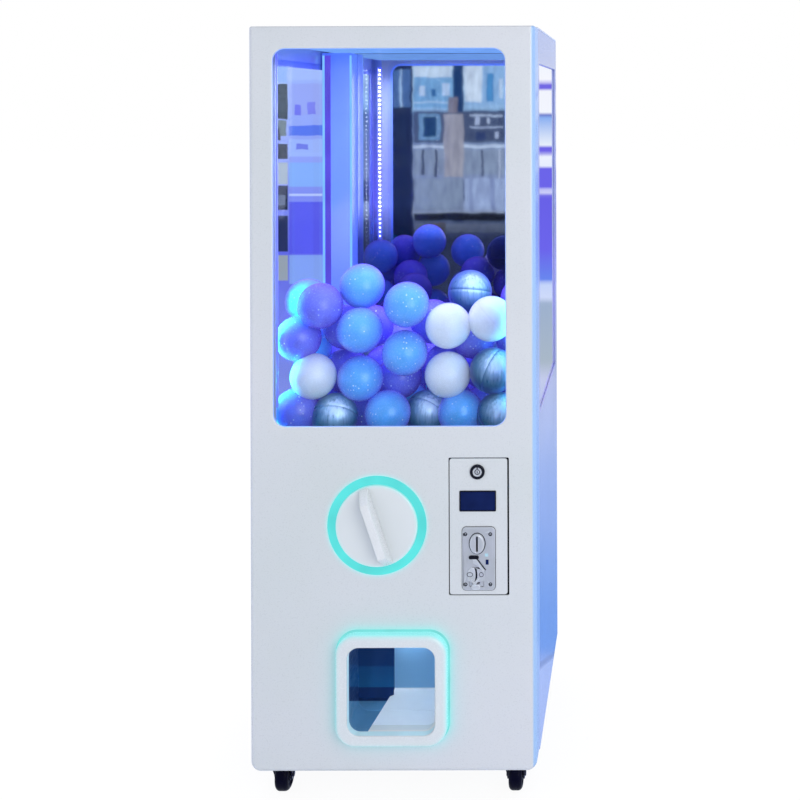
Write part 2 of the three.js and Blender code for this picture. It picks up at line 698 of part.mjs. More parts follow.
function lockRing() {
  const flange = discY(LOCK.x, LOCK.z, 15, FRONT - 4, FRONT - FIT, 32);
  const barrel = discY(LOCK.x, LOCK.z, 11, FRONT - 1, FRONT + 22, 24);
  return cut(join(flange, barrel), discY(LOCK.x, LOCK.z, 9.7, FRONT - 5, FRONT + 23, 28));
}

function lockCore() {
  const core = discY(LOCK.x, LOCK.z, 9.5, FRONT - 3.5, FRONT + 24, 28);
  const cam = box(LOCK.x - 6, LOCK.x + 36, FRONT + 23.5, FRONT + 26.5, LOCK.z - 6, LOCK.z + 6);
  const notch = box(LOCK.x - 1.5, LOCK.x + 1.5, FRONT - 4, FRONT, LOCK.z + 5, LOCK.z + 10);
  return cut(join(core, cam), notch);
}

// ---- service side ----
const REAR_LOCK = { x: -225, z: 288 };

function rearDoor() {
  const { x, z0, z1, pinX, pinR } = REAR_DOOR;
  const sheet = box(-x, x, REAR - BACK_T, REAR, z0, z1);
  const pins = discZ(pinX, REAR - BACK_T / 2, pinR, z0 - 8, z1 + 8, 16);
  const slots = [];
  for (let i = 0; i < 6; i++) {
    const z = 190 + i * 16;
    slots.push(box(-90, 90, REAR - BACK_T - 1, REAR + 1, z, z + 6));
  }
  const lock = discY(REAR_LOCK.x, REAR_LOCK.z, 8.2, REAR - 20, REAR + 1, 24);
  return cut(join(sheet, pins), ...slots, lock);
}

function rearLockCore() {
  const core = discY(REAR_LOCK.x, REAR_LOCK.z, 8, REAR - 14, REAR - FIT, 24);
  const cam = box(REAR_LOCK.x - 6, REAR_LOCK.x + 6, REAR - 16, REAR - 13, REAR_LOCK.z - 6, REAR_LOCK.z + 38);
  return join(core, cam);
}

function coinBox() {
  const { x0, x1, y0, y1, z0, z1 } = COIN_BOX;
  const wall = 3;
  const hollow = box(x0 + wall, x1 - wall, y0 + wall, y1 - wall, z0 + wall, z1 + 2);
  return cut(box(x0, x1, y0, y1, z0, z1), hollow);
}

function controlBoard() {
  const board = box(120, 240, 250, 252, 300, 460);
  const chips = [box(140, 170, 240, 251, 330, 370), box(185, 222, 238, 251, 400, 430)];
  return join(board, ...chips);
}

function powerSupply() {
  return box(-240, -130, 120, 250, BOTTOM + 4 + FIT, 150);
}

// ---- casters ----
function casterFork(x, y) {
  const { trail, wheelR } = CASTER;
  const axleY = y - trail;
  const crown = discZ(x, y, 23, BOTTOM - 8, BOTTOM - FIT, 20);
  const solids = [crown, box(x - 24, x + 24, y - 26, y + 14, BOTTOM - 11, BOTTOM - 6)];
  const legT = 4;
  const legInner = CASTER.wheelHalfW + 1.5;
  for (const sign of [-1, 1]) {
    const leg = new THREE.Shape();
    leg.moveTo(y + 14, BOTTOM - 6);
    leg.lineTo(y - 26, BOTTOM - 6);
    leg.lineTo(axleY - 12, wheelR + 4);
    leg.absarc(axleY, wheelR, 10, Math.PI, Math.PI * 1.75);
    const plate = new THREE.ExtrudeGeometry(leg, { depth: legT, bevelEnabled: false, curveSegments: 3 });
    plate.rotateX(Math.PI / 2).rotateZ(Math.PI / 2);
    solids.push(plate.translate(sign < 0 ? x - legInner - legT : x + legInner, 0, 0));
  }
  const axle = discX(axleY, wheelR, 4, x - legInner - 2, x + legInner + 2, 12);
  return join(...solids, axle);
}

function casterWheel(x, y) {
  const { trail, wheelR: r, wheelHalfW: w } = CASTER;
  const bore = 4.3;
  const points = [
    [bore, -w],
    [r - 12, -w],
    [r - 3, -w + 2],
    [r, -w + 8],
    [r, w - 8],
    [r - 3, w - 2],
    [r - 12, w],
    [bore, w],
    [bore, -w],
  ];
  const profile = points.map(([a, b]) => new THREE.Vector2(a, b));
  const wheel = new THREE.LatheGeometry(profile, 24);
  wheel.rotateZ(-Math.PI / 2);
  return wheel.translate(x, y - trail, r);
}

// ---- assembly ----
function cabinet() {
  add("base_frame", baseFrame(), STEEL());
  add("left_side_panel", sidePanel(-1), SIDE());
  add("right_side_panel", sidePanel(1), SIDE());
  add("roof_panel", roofPanel(), SHELL());
  add("back_panel", backPanel(), SHELL());
  add("left_side_glass", sideGlass(-1), CLEAR());
  add("right_side_glass", sideGlass(1), CLEAR());
  add("back_mirror", backMirror(), paint(0x8090c8, 0.05, 1));
  add("inner_front_glass", innerFrontGlass(), CLEAR());
  add("ceiling_light", ceilingLight(), paint(0x9cc4ff, 0.4));
  add("left_led_strip", ledStrip(-1), paint(0xbfd8ff, 0.4));
  add("right_led_strip", ledStrip(1), paint(0xbfd8ff, 0.4));
  add("left_corner_post", cornerPost(-1), paint(0x9cb8f0, 0.3));
  add("right_corner_post", cornerPost(1), paint(0x9cb8f0, 0.3));
  add("upper_hinge_pin", hingePin(HINGE_Z[1]), STEEL());
  add("lower_hinge_pin", hingePin(HINGE_Z[0]), STEEL());
}

function store() {
  add("hopper_funnel", hopperFunnel(), NYLON());
  add("carousel_deck", carouselDeck(), STEEL());
  add("carousel", carousel(), NYLON());
  add("agitator", agitator(), NYLON());
  add("carousel_shaft", discZ(HUB.x, HUB.y, DIAL.shaft, 519.5, ROTOR.z1 + 12, 24), STEEL());
  add("capsule_pile", capsulePile(), paint(0x6c9af0, 0.25));
}

function works() {
  add("drop_chute", dropChute(), BLACK());
  add("exit_box", exitBox(), paint(0x9db8d8, 0.4));
  add("shaft_bracket", shaftBracket(), STEEL());
  add("lower_bearing", lowerBearing(), STEEL());
  add("drive_shaft", driveShaft(), STEEL());
  add("drive_pinion", pinion(), NYLON());
  add("crown_gear", crownGear(), NYLON());
  add("coin_box", coinBox(), BLACK());
  add("control_board", controlBoard(), paint(0x1f6b3a, 0.5));
  add("power_supply", powerSupply(), STEEL());
}

function frontDoor() {
  add("front_shell", frontShell(), SHELL());
  add("window_glass", windowGlass(), CLEAR());
  add("exit_frame", exitFrame(), SHELL());
  add("exit_light_ring", exitLightRing(), GLOW());
  add("exit_flap", exitFlap(), paint(0x7fb0e0, 0.05));
  add("dial_light_ring", dialLightRing(), GLOW());
  add("dial_bush", dialBush(), NYLON());
  add("dial_disc", dialDisc(), SHELL());
  add("dial_grip", dialGrip(), SHELL());
  add("dial_shaft", dialShaft(), STEEL());
}

function coinDoor() {
  add("coin_door_panel", coinDoorPanel(), SHELL());
  add("display_screen", displayScreen(), paint(0x101f53, 0.1));
  add("coin_plate", coinPlate(), SILVER());
  add("coin_acceptor_body", coinAcceptorBody(), BLACK());
  add("reject_button", rejectButton(), BLACK());
  add("coin_return_flap", coinReturnFlap(), SILVER());
  add("lock_ring", lockRing(), BLACK());
  add("lock_core", lockCore(), SILVER());
}

function serviceSide() {
  add("rear_door", rearDoor(), SHELL());
  add("rear_lock_core", rearLockCore(), SILVER());
}

function casters() {
  for (const [side, sign] of [["left", -1], ["right", 1]]) {
    for (const [end, y] of [["front", CASTER.front], ["rear", CASTER.rear]]) {
      add(`${end}_${side}_fork`, casterFork(sign * CASTER.x, y), BLACK());
      add(`${end}_${side}_wheel`, casterWheel(sign * CASTER.x, y), BLACK());
    }
  }
}

cabinet();
store();
works();
frontDoor();
coinDoor();
serviceSide();
casters();

export default group;
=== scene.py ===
"""Looks of the capsule toy vendor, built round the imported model. Millimetres in, metres out."""

import math

import bmesh
import bpy
import numpy as np
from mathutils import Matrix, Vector

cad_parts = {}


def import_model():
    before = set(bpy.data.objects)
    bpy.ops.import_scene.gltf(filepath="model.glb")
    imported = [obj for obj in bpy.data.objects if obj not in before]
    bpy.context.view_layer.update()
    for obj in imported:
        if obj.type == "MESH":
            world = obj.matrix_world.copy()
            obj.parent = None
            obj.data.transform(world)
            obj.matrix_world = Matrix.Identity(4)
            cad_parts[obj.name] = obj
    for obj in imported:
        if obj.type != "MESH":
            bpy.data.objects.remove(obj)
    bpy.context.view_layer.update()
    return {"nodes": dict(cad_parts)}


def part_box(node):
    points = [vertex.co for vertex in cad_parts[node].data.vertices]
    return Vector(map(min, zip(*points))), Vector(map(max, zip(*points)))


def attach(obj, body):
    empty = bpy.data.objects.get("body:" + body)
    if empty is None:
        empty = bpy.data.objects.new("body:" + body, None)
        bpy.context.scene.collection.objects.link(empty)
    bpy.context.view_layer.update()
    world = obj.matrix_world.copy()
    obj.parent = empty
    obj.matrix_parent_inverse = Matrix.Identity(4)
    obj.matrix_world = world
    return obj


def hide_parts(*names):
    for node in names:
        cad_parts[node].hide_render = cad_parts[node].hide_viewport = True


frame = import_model()
MM = 0.001
SEED = 11


# ---------------- measures read from the frame


def span(node):
    """A node's box as three (low, high) pairs in millimetres."""
    low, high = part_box(node)
    return [(low[i] / MM, high[i] / MM) for i in range(3)]


FRONT = span("coin_door_panel")[1][0]  # the front face plane
SKIN = 3.0  # thickness of the door sheet


def coin_rect():
    (x0, x1), _, (z0, z1) = span("coin_door_panel")
    return x0, x1, z0, z1


WINDOW = (-242, 230, 772, 1538, 26)  # left, right, foot, top, corner radius
DIAL = (-32.0, 573.0)
DIAL_CENTRE = (DIAL[0], 0, DIAL[1])
RING_OUTER, RING_INNER = 100.0, 83.0
GRIP = {"lean": math.radians(18.6), "base": 9.5, "crest": 8.0, "reach": 80.2, "ramp": 24.0}
EXIT = (0.0, 248.0)
LOCK = (171.4, 681.0)
LOCK_CENTRE = (LOCK[0], 0, LOCK[1])
SLOT = (171.0, 537.0)
REJECT = (164.0, 509.0)
SCREWS = [(x, z) for z in (454.4, 555.6) for x in (147.2, 197.4)]
TURQUOISE = (0.2, 0.83, 0.8)


# ---------------- outlines, as (x, z) points


def rounded_rect(x0, x1, z0, z1, r, steps=8, top_r=None):
    """An anticlockwise rounded rectangle, seen from the front."""
    top_r = r if top_r is None else top_r
    corners = [
        (x1 - r, z0 + r, r, -90),
        (x1 - top_r, z1 - top_r, top_r, 0),
        (x0 + top_r, z1 - top_r, top_r, 90),
        (x0 + r, z0 + r, r, 180),
    ]
    points = []
    for cx, cz, radius, start in corners:
        for k in range(steps + 1):
            a = math.radians(start + 90 * k / steps)
            points.append((cx + radius * math.cos(a), cz + radius * math.sin(a)))
    return points


def ellipse(cx, cz, rx, rz=None, count=64):
    rz = rx if rz is None else rz
    turn = 2 * math.pi / count
    return [(cx + rx * math.cos(turn * k), cz + rz * math.sin(turn * k)) for k in range(count)]


def offset(points, d):
    """The outline moved outwards by d (inwards when d is negative)."""
    moved = []
    count = len(points)
    for i in range(count):
        p, q, n = points[i - 1], points[i], points[(i + 1) % count]
        a = Vector((q[0] - p[0], q[1] - p[1]))
        b = Vector((n[0] - q[0], n[1] - q[1]))
        a = a.normalized() if a.length > 1e-6 else b.normalized()
        b = b.normalized() if b.length > 1e-6 else a
        normal = Vector((a.y + b.y, -(a.x + b.x)))
        normal.normalize()
        stretch = max(0.35, normal.dot(Vector((a.y, -a.x))))
        moved.append((q[0] + normal.x * d / stretch, q[1] + normal.y * d / stretch))
    return moved


def area(points):
    total = 0.0
    for i, p in enumerate(points):
        q = points[(i + 1) % len(points)]
        total += p[0] * q[1] - q[0] * p[1]
    return total / 2


def quarter(steps):
    """(sine, cosine) pairs of a quarter turn."""
    angles = [math.pi / 2 * k / steps for k in range(steps + 1)]
    return [(math.sin(a), math.cos(a)) for a in angles]


def eased_rings(points, side, radius, y_face, y_end, steps=5):
    """Rings from a flat face round a rounded edge to y_end. side is 1 for an outer edge, -1 for a hole's."""
    rings = [(offset(points, -side * (radius + 1.0)), y_face)]
    deeper = 1 if y_end > y_face else -1
    for s, c in quarter(steps):
        rings.append((offset(points, -side * radius * (1 - s)), y_face + deeper * radius * (1 - c)))
    rings.append((points, y_end))
    return rings


# ---------------- meshes


def piece(name, bm, body, material, replaces=None, smooth=35):
    """Makes a named piece that rides a body, and hides the CAD node it replaces."""
    obj = bpy.data.objects.new(name, to_mesh(name, bm, smooth))
    bpy.context.scene.collection.objects.link(obj)
    for m in material if isinstance(material, list) else [material]:
        obj.data.materials.append(m)
    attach(obj, body)
    if replaces:
        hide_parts(replaces)
    return obj


def to_mesh(name, bm, smooth_deg=35):
    bmesh.ops.recalc_face_normals(bm, faces=bm.faces)
    mesh = bpy.data.meshes.new(name)
    bm.to_mesh(mesh)
    bm.free()
    for polygon in mesh.polygons:
        polygon.use_smooth = True
    mesh.set_sharp_from_angle(angle=math.radians(smooth_deg))
    return mesh


def ring_verts(bm, points, y):
    return [bm.verts.new((x * MM, y * MM, z * MM)) for x, z in points]


def ring_edges(bm, ring):
    found = []
    for i, v in enumerate(ring):
        pair = (ring[i - 1], v)
        found.append(bm.edges.get(pair) or bm.edges.new(pair))
    return found


def wall(bm, ring_a, ring_b):
    count = len(ring_a)
    for i in range(count):
        j = (i + 1) % count
        bm.faces.new((ring_a[i], ring_a[j], ring_b[j], ring_b[i]))


def skin(bm, rings):
    """Walls from ring to ring and a flat cap at each end."""
    for a, b in zip(rings, rings[1:]):
        wall(bm, a, b)
    bm.faces.new(rings[0])
    bm.faces.new(rings[-1])


def closed_loft(bm, rings):
    """Rings joined one to the next, and the last back to the first."""
    made = [ring_verts(bm, points, y) for points, y in rings]
    for a, b in zip(made, made[1:] + made[:1]):
        wall(bm, a, b)
    return made


def moulding(bm, outline, section):
    """A closed ring that follows an outline. section holds (outwards, y) pairs."""
    return closed_loft(bm, [(offset(outline, out), y) for out, y in section])


def centred(middle, half_width, half_height, r, steps=8):
    """A rounded rectangle about a point."""
    x, z = middle
    return rounded_rect(x - half_width, x + half_width, z - half_height, z + half_height, r, steps)


def pressed(bm, outer_rings, hole_ring_sets=()):
    """A closed sheet: the rings go from the front face round the edges to the rear face."""
    first, last = [], []
    for rings in [outer_rings, *hole_ring_sets]:
        made = [ring_verts(bm, points, y) for points, y in rings]
        for a, b in zip(made, made[1:]):
            wall(bm, a, b)
        first += ring_edges(bm, made[0])
        last += ring_edges(bm, made[-1])
    for edges in (first, last):
        bmesh.ops.triangle_fill(bm, edges=edges, use_beauty=True)


def sheet(bm, outline, holes, y_front, y_back, edge, hole_edge):
    """A flat sheet with rounded front edges."""
    outer = eased_rings(outline, 1, edge, y_front, y_back)
    inner = [eased_rings(h, -1, hole_edge, y_front, y_back) for h in holes]
    pressed(bm, outer, inner)


def raised(bm, outline, base_y, proud, ease=1.0):
    """A closed boss standing proud of a plate, with an eased top edge."""
    points = outline if area(outline) > 0 else list(reversed(outline))
    pressed(bm, [
        (offset(points, -ease), base_y - proud), (offset(points, -ease * 0.3), base_y - proud + ease * 0.3),
        (points, base_y - proud + ease), (points, base_y + 0.05),
    ])


def turned(bm, profile, centre, axis, count):
    """The rings of a (radius, along) profile turned about an axis through centre (x, y, z)."""
    cx, cy, cz = centre
    rings = []
    for r, along in profile:
        ring = []
        for k in range(count):
            a = 2 * math.pi * k / count
            u, v = r * math.cos(a), r * math.sin(a)
            place = {
                "x": (cx + along, cy + u, cz + v),
                "y": (cx + u, cy + along, cz + v),
                "z": (cx + u, cy + v, cz + along),
            }[axis]
            ring.append(bm.verts.new([c * MM for c in place]))
        rings.append(ring)
    return rings


def lathe(bm, profile, centre, axis="y", count=64):
    """A profile that closes on itself, turned into a ring."""
    rings = turned(bm, profile, centre, axis, count)
    for a, b in zip(rings, rings[1:] + rings[:1]):
        wall(bm, a, b)


def lathe_solid(bm, profile, centre, axis="y", count=64):
    """An open profile turned into a solid."""
    skin(bm, turned(bm, profile, centre, axis, count))


def block(bm, x0, x1, y0, y1, z0, z1, bevel=0.8, segments=3):
    """A block with rounded edges."""
    made = bmesh.ops.create_cube(bm, size=1.0)["verts"]
    for v in made:
        v.co.x = (x0 if v.co.x < 0 else x1) * MM
        v.co.y = (y0 if v.co.y < 0 else y1) * MM
        v.co.z = (z0 if v.co.z < 0 else z1) * MM
    edges = list(dict.fromkeys(e for v in made for e in v.link_edges))
    bmesh.ops.bevel(bm, geom=edges, offset=bevel * MM, segments=segments, affect="EDGES", profile=0.5)


def carve(obj, bm):
    """Cuts the bmesh's solids out of a piece."""
    tool = bpy.data.objects.new("tool", to_mesh("tool", bm))
    bpy.context.scene.collection.objects.link(tool)
    cut = obj.modifiers.new("cut", "BOOLEAN")
    cut.object = tool
    cut.solver = "EXACT"
    graph = bpy.context.evaluated_depsgraph_get()
    mesh = bpy.data.meshes.new_from_object(obj.evaluated_get(graph))
    obj.modifiers.remove(cut)
    obj.data = mesh
    bpy.data.objects.remove(tool)
    mesh.set_sharp_from_angle(angle=math.radians(40))


# ---------------- shader helpers


def node(tree, kind, inputs=None, **properties):
    """A shader node; inputs are fields to link or plain values, by name or number."""
    made = tree.nodes.new("ShaderNode" + kind)
    for key, value in properties.items():
        setattr(made, key, value)
    for key, value in (inputs or {}).items():
        if isinstance(value, Field):
            tree.links.new(value.socket, made.inputs[key])
        else:
            made.inputs[key].default_value = value
    return made


def field(tree, kind, output=0, inputs=None, **properties):
    """One output of a new shader node."""
    return Field(node(tree, kind, inputs, **properties).outputs[output])


class Field:
    """A shader node's output, which can be reckoned with like a number."""

    def __init__(self, socket):
        self.socket = socket
        self.tree = socket.id_data

    def math(self, operation, other=0.0, clamp=False):
        return field(self.tree, "Math", 0, {0: self, 1: other}, operation=operation, use_clamp=clamp)

    def __add__(self, other):
        return self.math("ADD", other)

    def __sub__(self, other):
        return self.math("SUBTRACT", other)

    def __rsub__(self, other):
        return field(self.tree, "Math", 0, {0: other, 1: self}, operation="SUBTRACT")

    def __mul__(self, other):
        return self.math("MULTIPLY", other)

    def __truediv__(self, other):
        return self.math("DIVIDE", other)

    def __pow__(self, other):
        return self.math("POWER", other)

    def __gt__(self, other):
        return self.math("GREATER_THAN", other)

    def __lt__(self, other):
        return self.math("LESS_THAN", other)

    def __abs__(self):
        return self.math("ABSOLUTE")

    def root(self):
        return self.math("SQRT")

    def at_least(self, other):
        return self.math("MAXIMUM", other)

    def at_most(self, other):
        return self.math("MINIMUM", other)

    def share(self, other):
        """The product, held between 0 and 1."""
        return self.math("MULTIPLY", other, True)


def xyz(vector):
    return [Field(part) for part in node(vector.tree, "SeparateXYZ", {0: vector}).outputs]


def blank(name):
    """A new material, its emptied tree and the place on the object."""
    material = bpy.data.materials.new(name)
    material.use_nodes = True
    material.node_tree.nodes.clear()
    return material, material.node_tree, field(material.node_tree, "TexCoord", "Object")


def finish(owner, shader, output="OutputMaterial"):
    """Ends a material or world in a shader node."""
    tree = owner.node_tree
    tree.links.new(shader.outputs[0], node(tree, output).inputs[0])
    return owner


PAINT_INPUTS = {
    "metallic": "Metallic", "coat": "Coat Weight", "coat_roughness": "Coat Roughness",
    "normal": "Normal", "specular": "Specular IOR Level", "light": "Emission Color",
    "light_level": "Emission Strength",
}


def painted(material, base, roughness, **more):
    """Ends a material in a Principled shader."""
    inputs = {PAINT_INPUTS[key]: value for key, value in more.items()}
    inputs |= {"Base Color": base, "Roughness": roughness}
    return finish(material, node(material.node_tree, "BsdfPrincipled", inputs))


def rgba(colour, k=1.0):
    return (*[min(1.0, c * k) for c in colour], 1.0)


BLACK, WHITE = (0, 0, 0, 1), (1, 1, 1, 1)


def blend(fac, a, b, **how):
    """a where fac is 0, b where fac is 1."""
    tree = next(value.tree for value in (fac, a, b) if isinstance(value, Field))
    return field(tree, "Mix", 2, {"Factor": fac, 6: a, 7: b}, data_type="RGBA", **how)


def noise(place, scale, detail=3.0, stretch=(1, 1, 1)):
    mapped = field(place.tree, "Mapping", "Vector", {"Vector": place, "Scale": stretch})
    return field(place.tree, "TexNoise", "Fac", {"Vector": mapped, "Scale": scale, "Detail": detail})


def bumps(height, strength, distance):
    inputs = {"Height": height, "Strength": strength, "Distance": distance}
    return field(height.tree, "Bump", "Normal", inputs)


def ramp(fac, low, high, a=0.3, b=0.7):
    made = node(fac.tree, "ValToRGB", {"Fac": fac})
    for element, at, colour in zip(made.color_ramp.elements, (a, b), (low, high)):
        element.position = at
        element.color = colour
    return Field(made.outputs["Color"])


def spread(fac, low, high):
    """Stretches a noise's usual range to low..high."""
    inputs = {"Value": fac, "From Min": 0.3, "From Max": 0.7, "To Min": low, "To Max": high}
    return field(fac.tree, "MapRange", "Result", inputs)


def bands(value, stops):
    """A colour ramp through (value, red, green, blue) stops in rising order."""
    low, high = stops[0][0], stops[-1][0]
    scaled = field(value.tree, "MapRange", "Result", {"Value": value, "From Min": low, "From Max": high})
    made = node(value.tree, "ValToRGB", {"Fac": scaled})
    elements = made.color_ramp.elements
    while len(elements) < len(stops):
        elements.new(1.0)
    for element, (at, *colour) in zip(elements, stops):
        element.position = (at - low) / (high - low)
        element.color = rgba(colour)
    return Field(made.outputs["Color"])


def square_distance(place, centre, half, radius):
    """Distance outwards from a rounded square in the front plane, in metres."""
    x, _, z = xyz(place)
    over = [abs(axis - middle * MM) - (half - radius) * MM for axis, middle in zip((x, z), centre)]
    across, up = [value.at_least(0.0) ** 2.0 for value in over]
    return (across + up).root() + over[0].at_least(over[1]).at_most(0.0) - radius * MM


def ring_distance(place, centre, radius):
    """Distance outwards from a circle in the front plane, in metres."""
    x, _, z = xyz(place)
    return ((x - centre[0] * MM) ** 2.0 + (z - centre[1] * MM) ** 2.0).root() - radius * MM


def falloff(distance, reach, level):
    """level at distance 0, fading over reach millimetres outwards."""
    return (distance.at_least(0.0) * (-1.0 / (reach * MM))).math("EXPONENT").share(level)


def door_spill(place):
    """Turquoise light washing over the door round the two lit rings."""
    by_exit = falloff(square_distance(place, EXIT, 114.0, 42.0), 9.0, 0.42)
    by_dial = falloff(abs(ring_distance(place, DIAL, RING_OUTER)), 3.0, 0.5)
    return by_exit.at_least(by_dial)


def dial_spill(place):
    return falloff(abs(ring_distance(place, DIAL, RING_INNER)), 2.5, 0.45)


def bezel_spill(place):
    return falloff(abs(square_distance(place, EXIT, 112.0, 40.0)), 2.8, 0.75)


# ---------------- finishes


def surface(
    name, colour, roughness, metallic=0.0, coat=0.0, shade=0.05, patch=3.0, grain=0.02,
    grain_scale=900.0, stretch=(1, 1, 1), emission=BLACK, emission_strength=0.0, tint=None,
    edge=0.0, specular=0.5, spill=None, painted_bands=None, band_slope=0.0, painted_edge_light=None,
):
    """A finish with slow colour drift, fine grain in bump and roughness, and slightly lighter edges.
    spill(place) gives where turquoise light washes over it. painted_bands paints reflection and shade
    in bands by height, and band_slope tips the low ones down towards the back. painted_edge_light is
    (x, colour): the edge beyond x is painted in that colour, as light falling on it."""
    material, tree, place = blank(name)
    x, y, z = xyz(place)
    drift = noise(place, patch, 2.0)
    base = ramp(drift, rgba(colour, 1 - shade), rgba(tint or colour, 1 + shade))
    # painted reflection and shade in bands by height
    if painted_bands:
        tinted = bands(z + y * band_slope * (0.9 - z).share(3.0), painted_bands)
        shaded = ramp(drift, (1 - shade,) * 3 + (1,), WHITE)
        base = blend(1.0, tinted, shaded, blend_type="MULTIPLY")
    if edge:
        # edges that stand out are drawn lighter
        edge_lightening = ramp(field(tree, "NewGeometry", "Pointiness"), BLACK, WHITE, 0.52, 0.6)
        base = blend(edge_lightening, base, rgba(colour, 1 + edge))
    # painted light: beyond x the edge takes the given colour, as light falling on it
    if painted_edge_light:
        base = blend((x - painted_edge_light[0]).share(320.0), base, rgba(painted_edge_light[1]))
    fine = noise(place, grain_scale, 2.0, stretch)
    light, light_level = rgba(emission[:3]), emission_strength
    if spill:
        light = rgba(TURQUOISE)
        wash = spill(place)
        base = blend(wash, base, light)
        light_level = wash * 0.35
    return painted(
        material, base, spread(fine, roughness * 0.85, min(1.0, roughness * 1.15)),
        metallic=metallic, coat=coat, coat_roughness=0.06, normal=bumps(fine, grain, 0.001),
        specular=specular, light=light, light_level=light_level,
    )


def pane(name, tint, reflect, inner_reflect=None, smudge=0.04):
    """Clear sheet: what is behind shows through, with a sheen at shallow angles.
    inner_reflect is the sheen of the face turned to the inside of the cabinet."""
    material, tree, place = blank(name)
    smear = spread(noise(place, 9.0, 4.0, (1, 1, 0.4)), 0.0, smudge)
    gloss = field(tree, "BsdfGlossy", 0, {"Color": WHITE, "Roughness": smear})
    through = field(tree, "BsdfTransparent", 0, {"Color": rgba(tint)})
    geometry = node(tree, "NewGeometry").outputs
    level = reflect
    if inner_reflect is not None:
        outwards = xyz(Field(geometry["Normal"]))[0] * xyz(place)[0] > 0.0
        level = outwards * (reflect - inner_reflect) + inner_reflect
    facing = 1.0 - Field(geometry["Backfacing"])
    weight = (field(tree, "Fresnel", 0, {"IOR": 1.33}) * facing).share(level)
    return finish(material, node(tree, "MixShader", {0: weight, 1: through, 2: gloss}))


def glow(name, colour, strength):
    """A lit diffuser whose brightness drifts a little along its length."""
    material, tree, place = blank(name)
    level = spread(noise(place, 18.0, 1.0), strength * 0.85, strength)
    lit = field(tree, "Emission", 0, {"Color": rgba(colour), "Strength": level})
    gloss = field(tree, "BsdfGlossy", 0, {"Roughness": 0.2})
    return finish(material, node(tree, "MixShader", {0: 0.04, 1: lit, 2: gloss}))


# painted light and shade by height in metres, as (height, red, green, blue): on the chute side
# bands of painted shade and reflection, elsewhere a floor painted pale as lit and walls painted blue as
# shade
CHUTE_SHADE_TONES = [
    (0.1, 0.105, 0.27, 0.46), (0.2218, 0.095, 0.25, 0.43), (0.2224, 0.007, 0.028, 0.115),
    (0.25, 0.006, 0.024, 0.1), (0.252, 0.009, 0.082, 0.215), (0.294, 0.008, 0.058, 0.18),
    (0.298, 0.006, 0.034, 0.125), (0.42, 0.005, 0.026, 0.105),
]
LINING_LIGHT_SHADE_TONES = [
    (0.15, 0.8, 0.82, 0.84), (0.1615, 0.8, 0.82, 0.84), (0.1635, 0.19, 0.38, 0.58),
    (0.235, 0.17, 0.34, 0.53), (0.262, 0.2, 0.4, 0.6), (0.34, 0.18, 0.37, 0.56),
]


def lining(name, level, split=True):
    """Walls of the delivery box in painted light and shade: by the chute a side in painted shade with bands
    of painted reflection, elsewhere a floor painted pale as lit and walls painted blue as shade. The dark
    side's tones lie on the line of sight from above, so that they meet from wall to wall. All of it glows at
    level, as painted light."""
    material, _, place = blank(name)
    x, y, z = xyz(place)
    tones = bands(z + (y + 0.287) * 0.517, CHUTE_SHADE_TONES)
    if split:
        mouth = y < -0.2075
        low = z - mouth * 0.022 < 0.1625
        # painted light and shade: a floor painted pale as lit, walls painted blue as shade
        walls = blend(low, bands(z, LINING_LIGHT_SHADE_TONES), (0.8, 0.82, 0.84, 1))
        walls = blend((y < -0.262) * low, walls, (0.66, 0.68, 0.66, 1))
        # painted shade: the chute side's tones are darker in the mouth
        shaded = blend(mouth * 0.32, tones, (0.0, 0.005, 0.02, 1))
        # painted shade: left of a slanted line the lining takes the chute side's dark tones
        tones = blend(x < y * 0.11 - 0.0185, walls, shaded)
    grain = noise(place, 60.0, 4.0, (1, 1, 3))
    tones = blend(grain * 0.08, tones, (0.02, 0.04, 0.08, 1))
    # painted light: the lining glows in its own tones at level
    return painted(material, tones, spread(grain, 0.4, 0.6), specular=0.12, light=tones, light_level=level)


def capsule_shell(name, colour, rim, light_level, rim_shade_power, haze=0.1, glint_level=0.85):
    """Moulded ball in painted light: a lighter middle, a rim painted darker as shade with a thin painted
    highlight at its edge, painted glints and a faint glow.
    """
    material, tree, place = blank(name)
    body = ramp(noise(place, 26.0), rgba(colour, 1 - haze), rgba(colour, 1 + haze))
    facing = field(tree, "LayerWeight", "Facing", {"Blend": 0.5})
    # painted shade: towards the rim the ball takes the darker rim colour
    base = blend(facing.math("POWER", rim_shade_power, True), body, rgba(rim))
    # painted highlight: a thin pale edge at the outline
    lip = ramp(facing, BLACK, WHITE, 0.86, 0.97)
    base = blend(lip * 0.5, base, rgba([c * 1.25 + 0.06 for c in rim]))
    # painted glints: pale specks where the ball faces the view
    specks = node(tree, "TexVoronoi", {"Vector": place, "Scale": 170.0, "Randomness": 1.0}).outputs
    dots = ramp(Field(specks["Distance"]), WHITE, BLACK, 0.16, 0.34)
    chosen = xyz(Field(specks["Color"]))[0] > 0.72
    patch = ramp(noise(place, 34.0, 2.0), BLACK, WHITE, 0.46, 0.6)
    middle = ramp(facing, WHITE, BLACK, 0.3, 0.62)
    painted_glints = dots * chosen * (patch * middle)
    base = blend(painted_glints * glint_level, base, (0.8, 0.92, 1.0, 1))
    scuff = noise(place, 240.0, 5.0, (1, 3, 1))
    # painted light: the ball glows faintly in its own colour
    return painted(material, base, spread(scuff, 0.168, 0.336), coat=0.3, coat_roughness=0.14,
                   normal=bumps(scuff, 0.05, 0.0006), light=base, light_level=light_level)


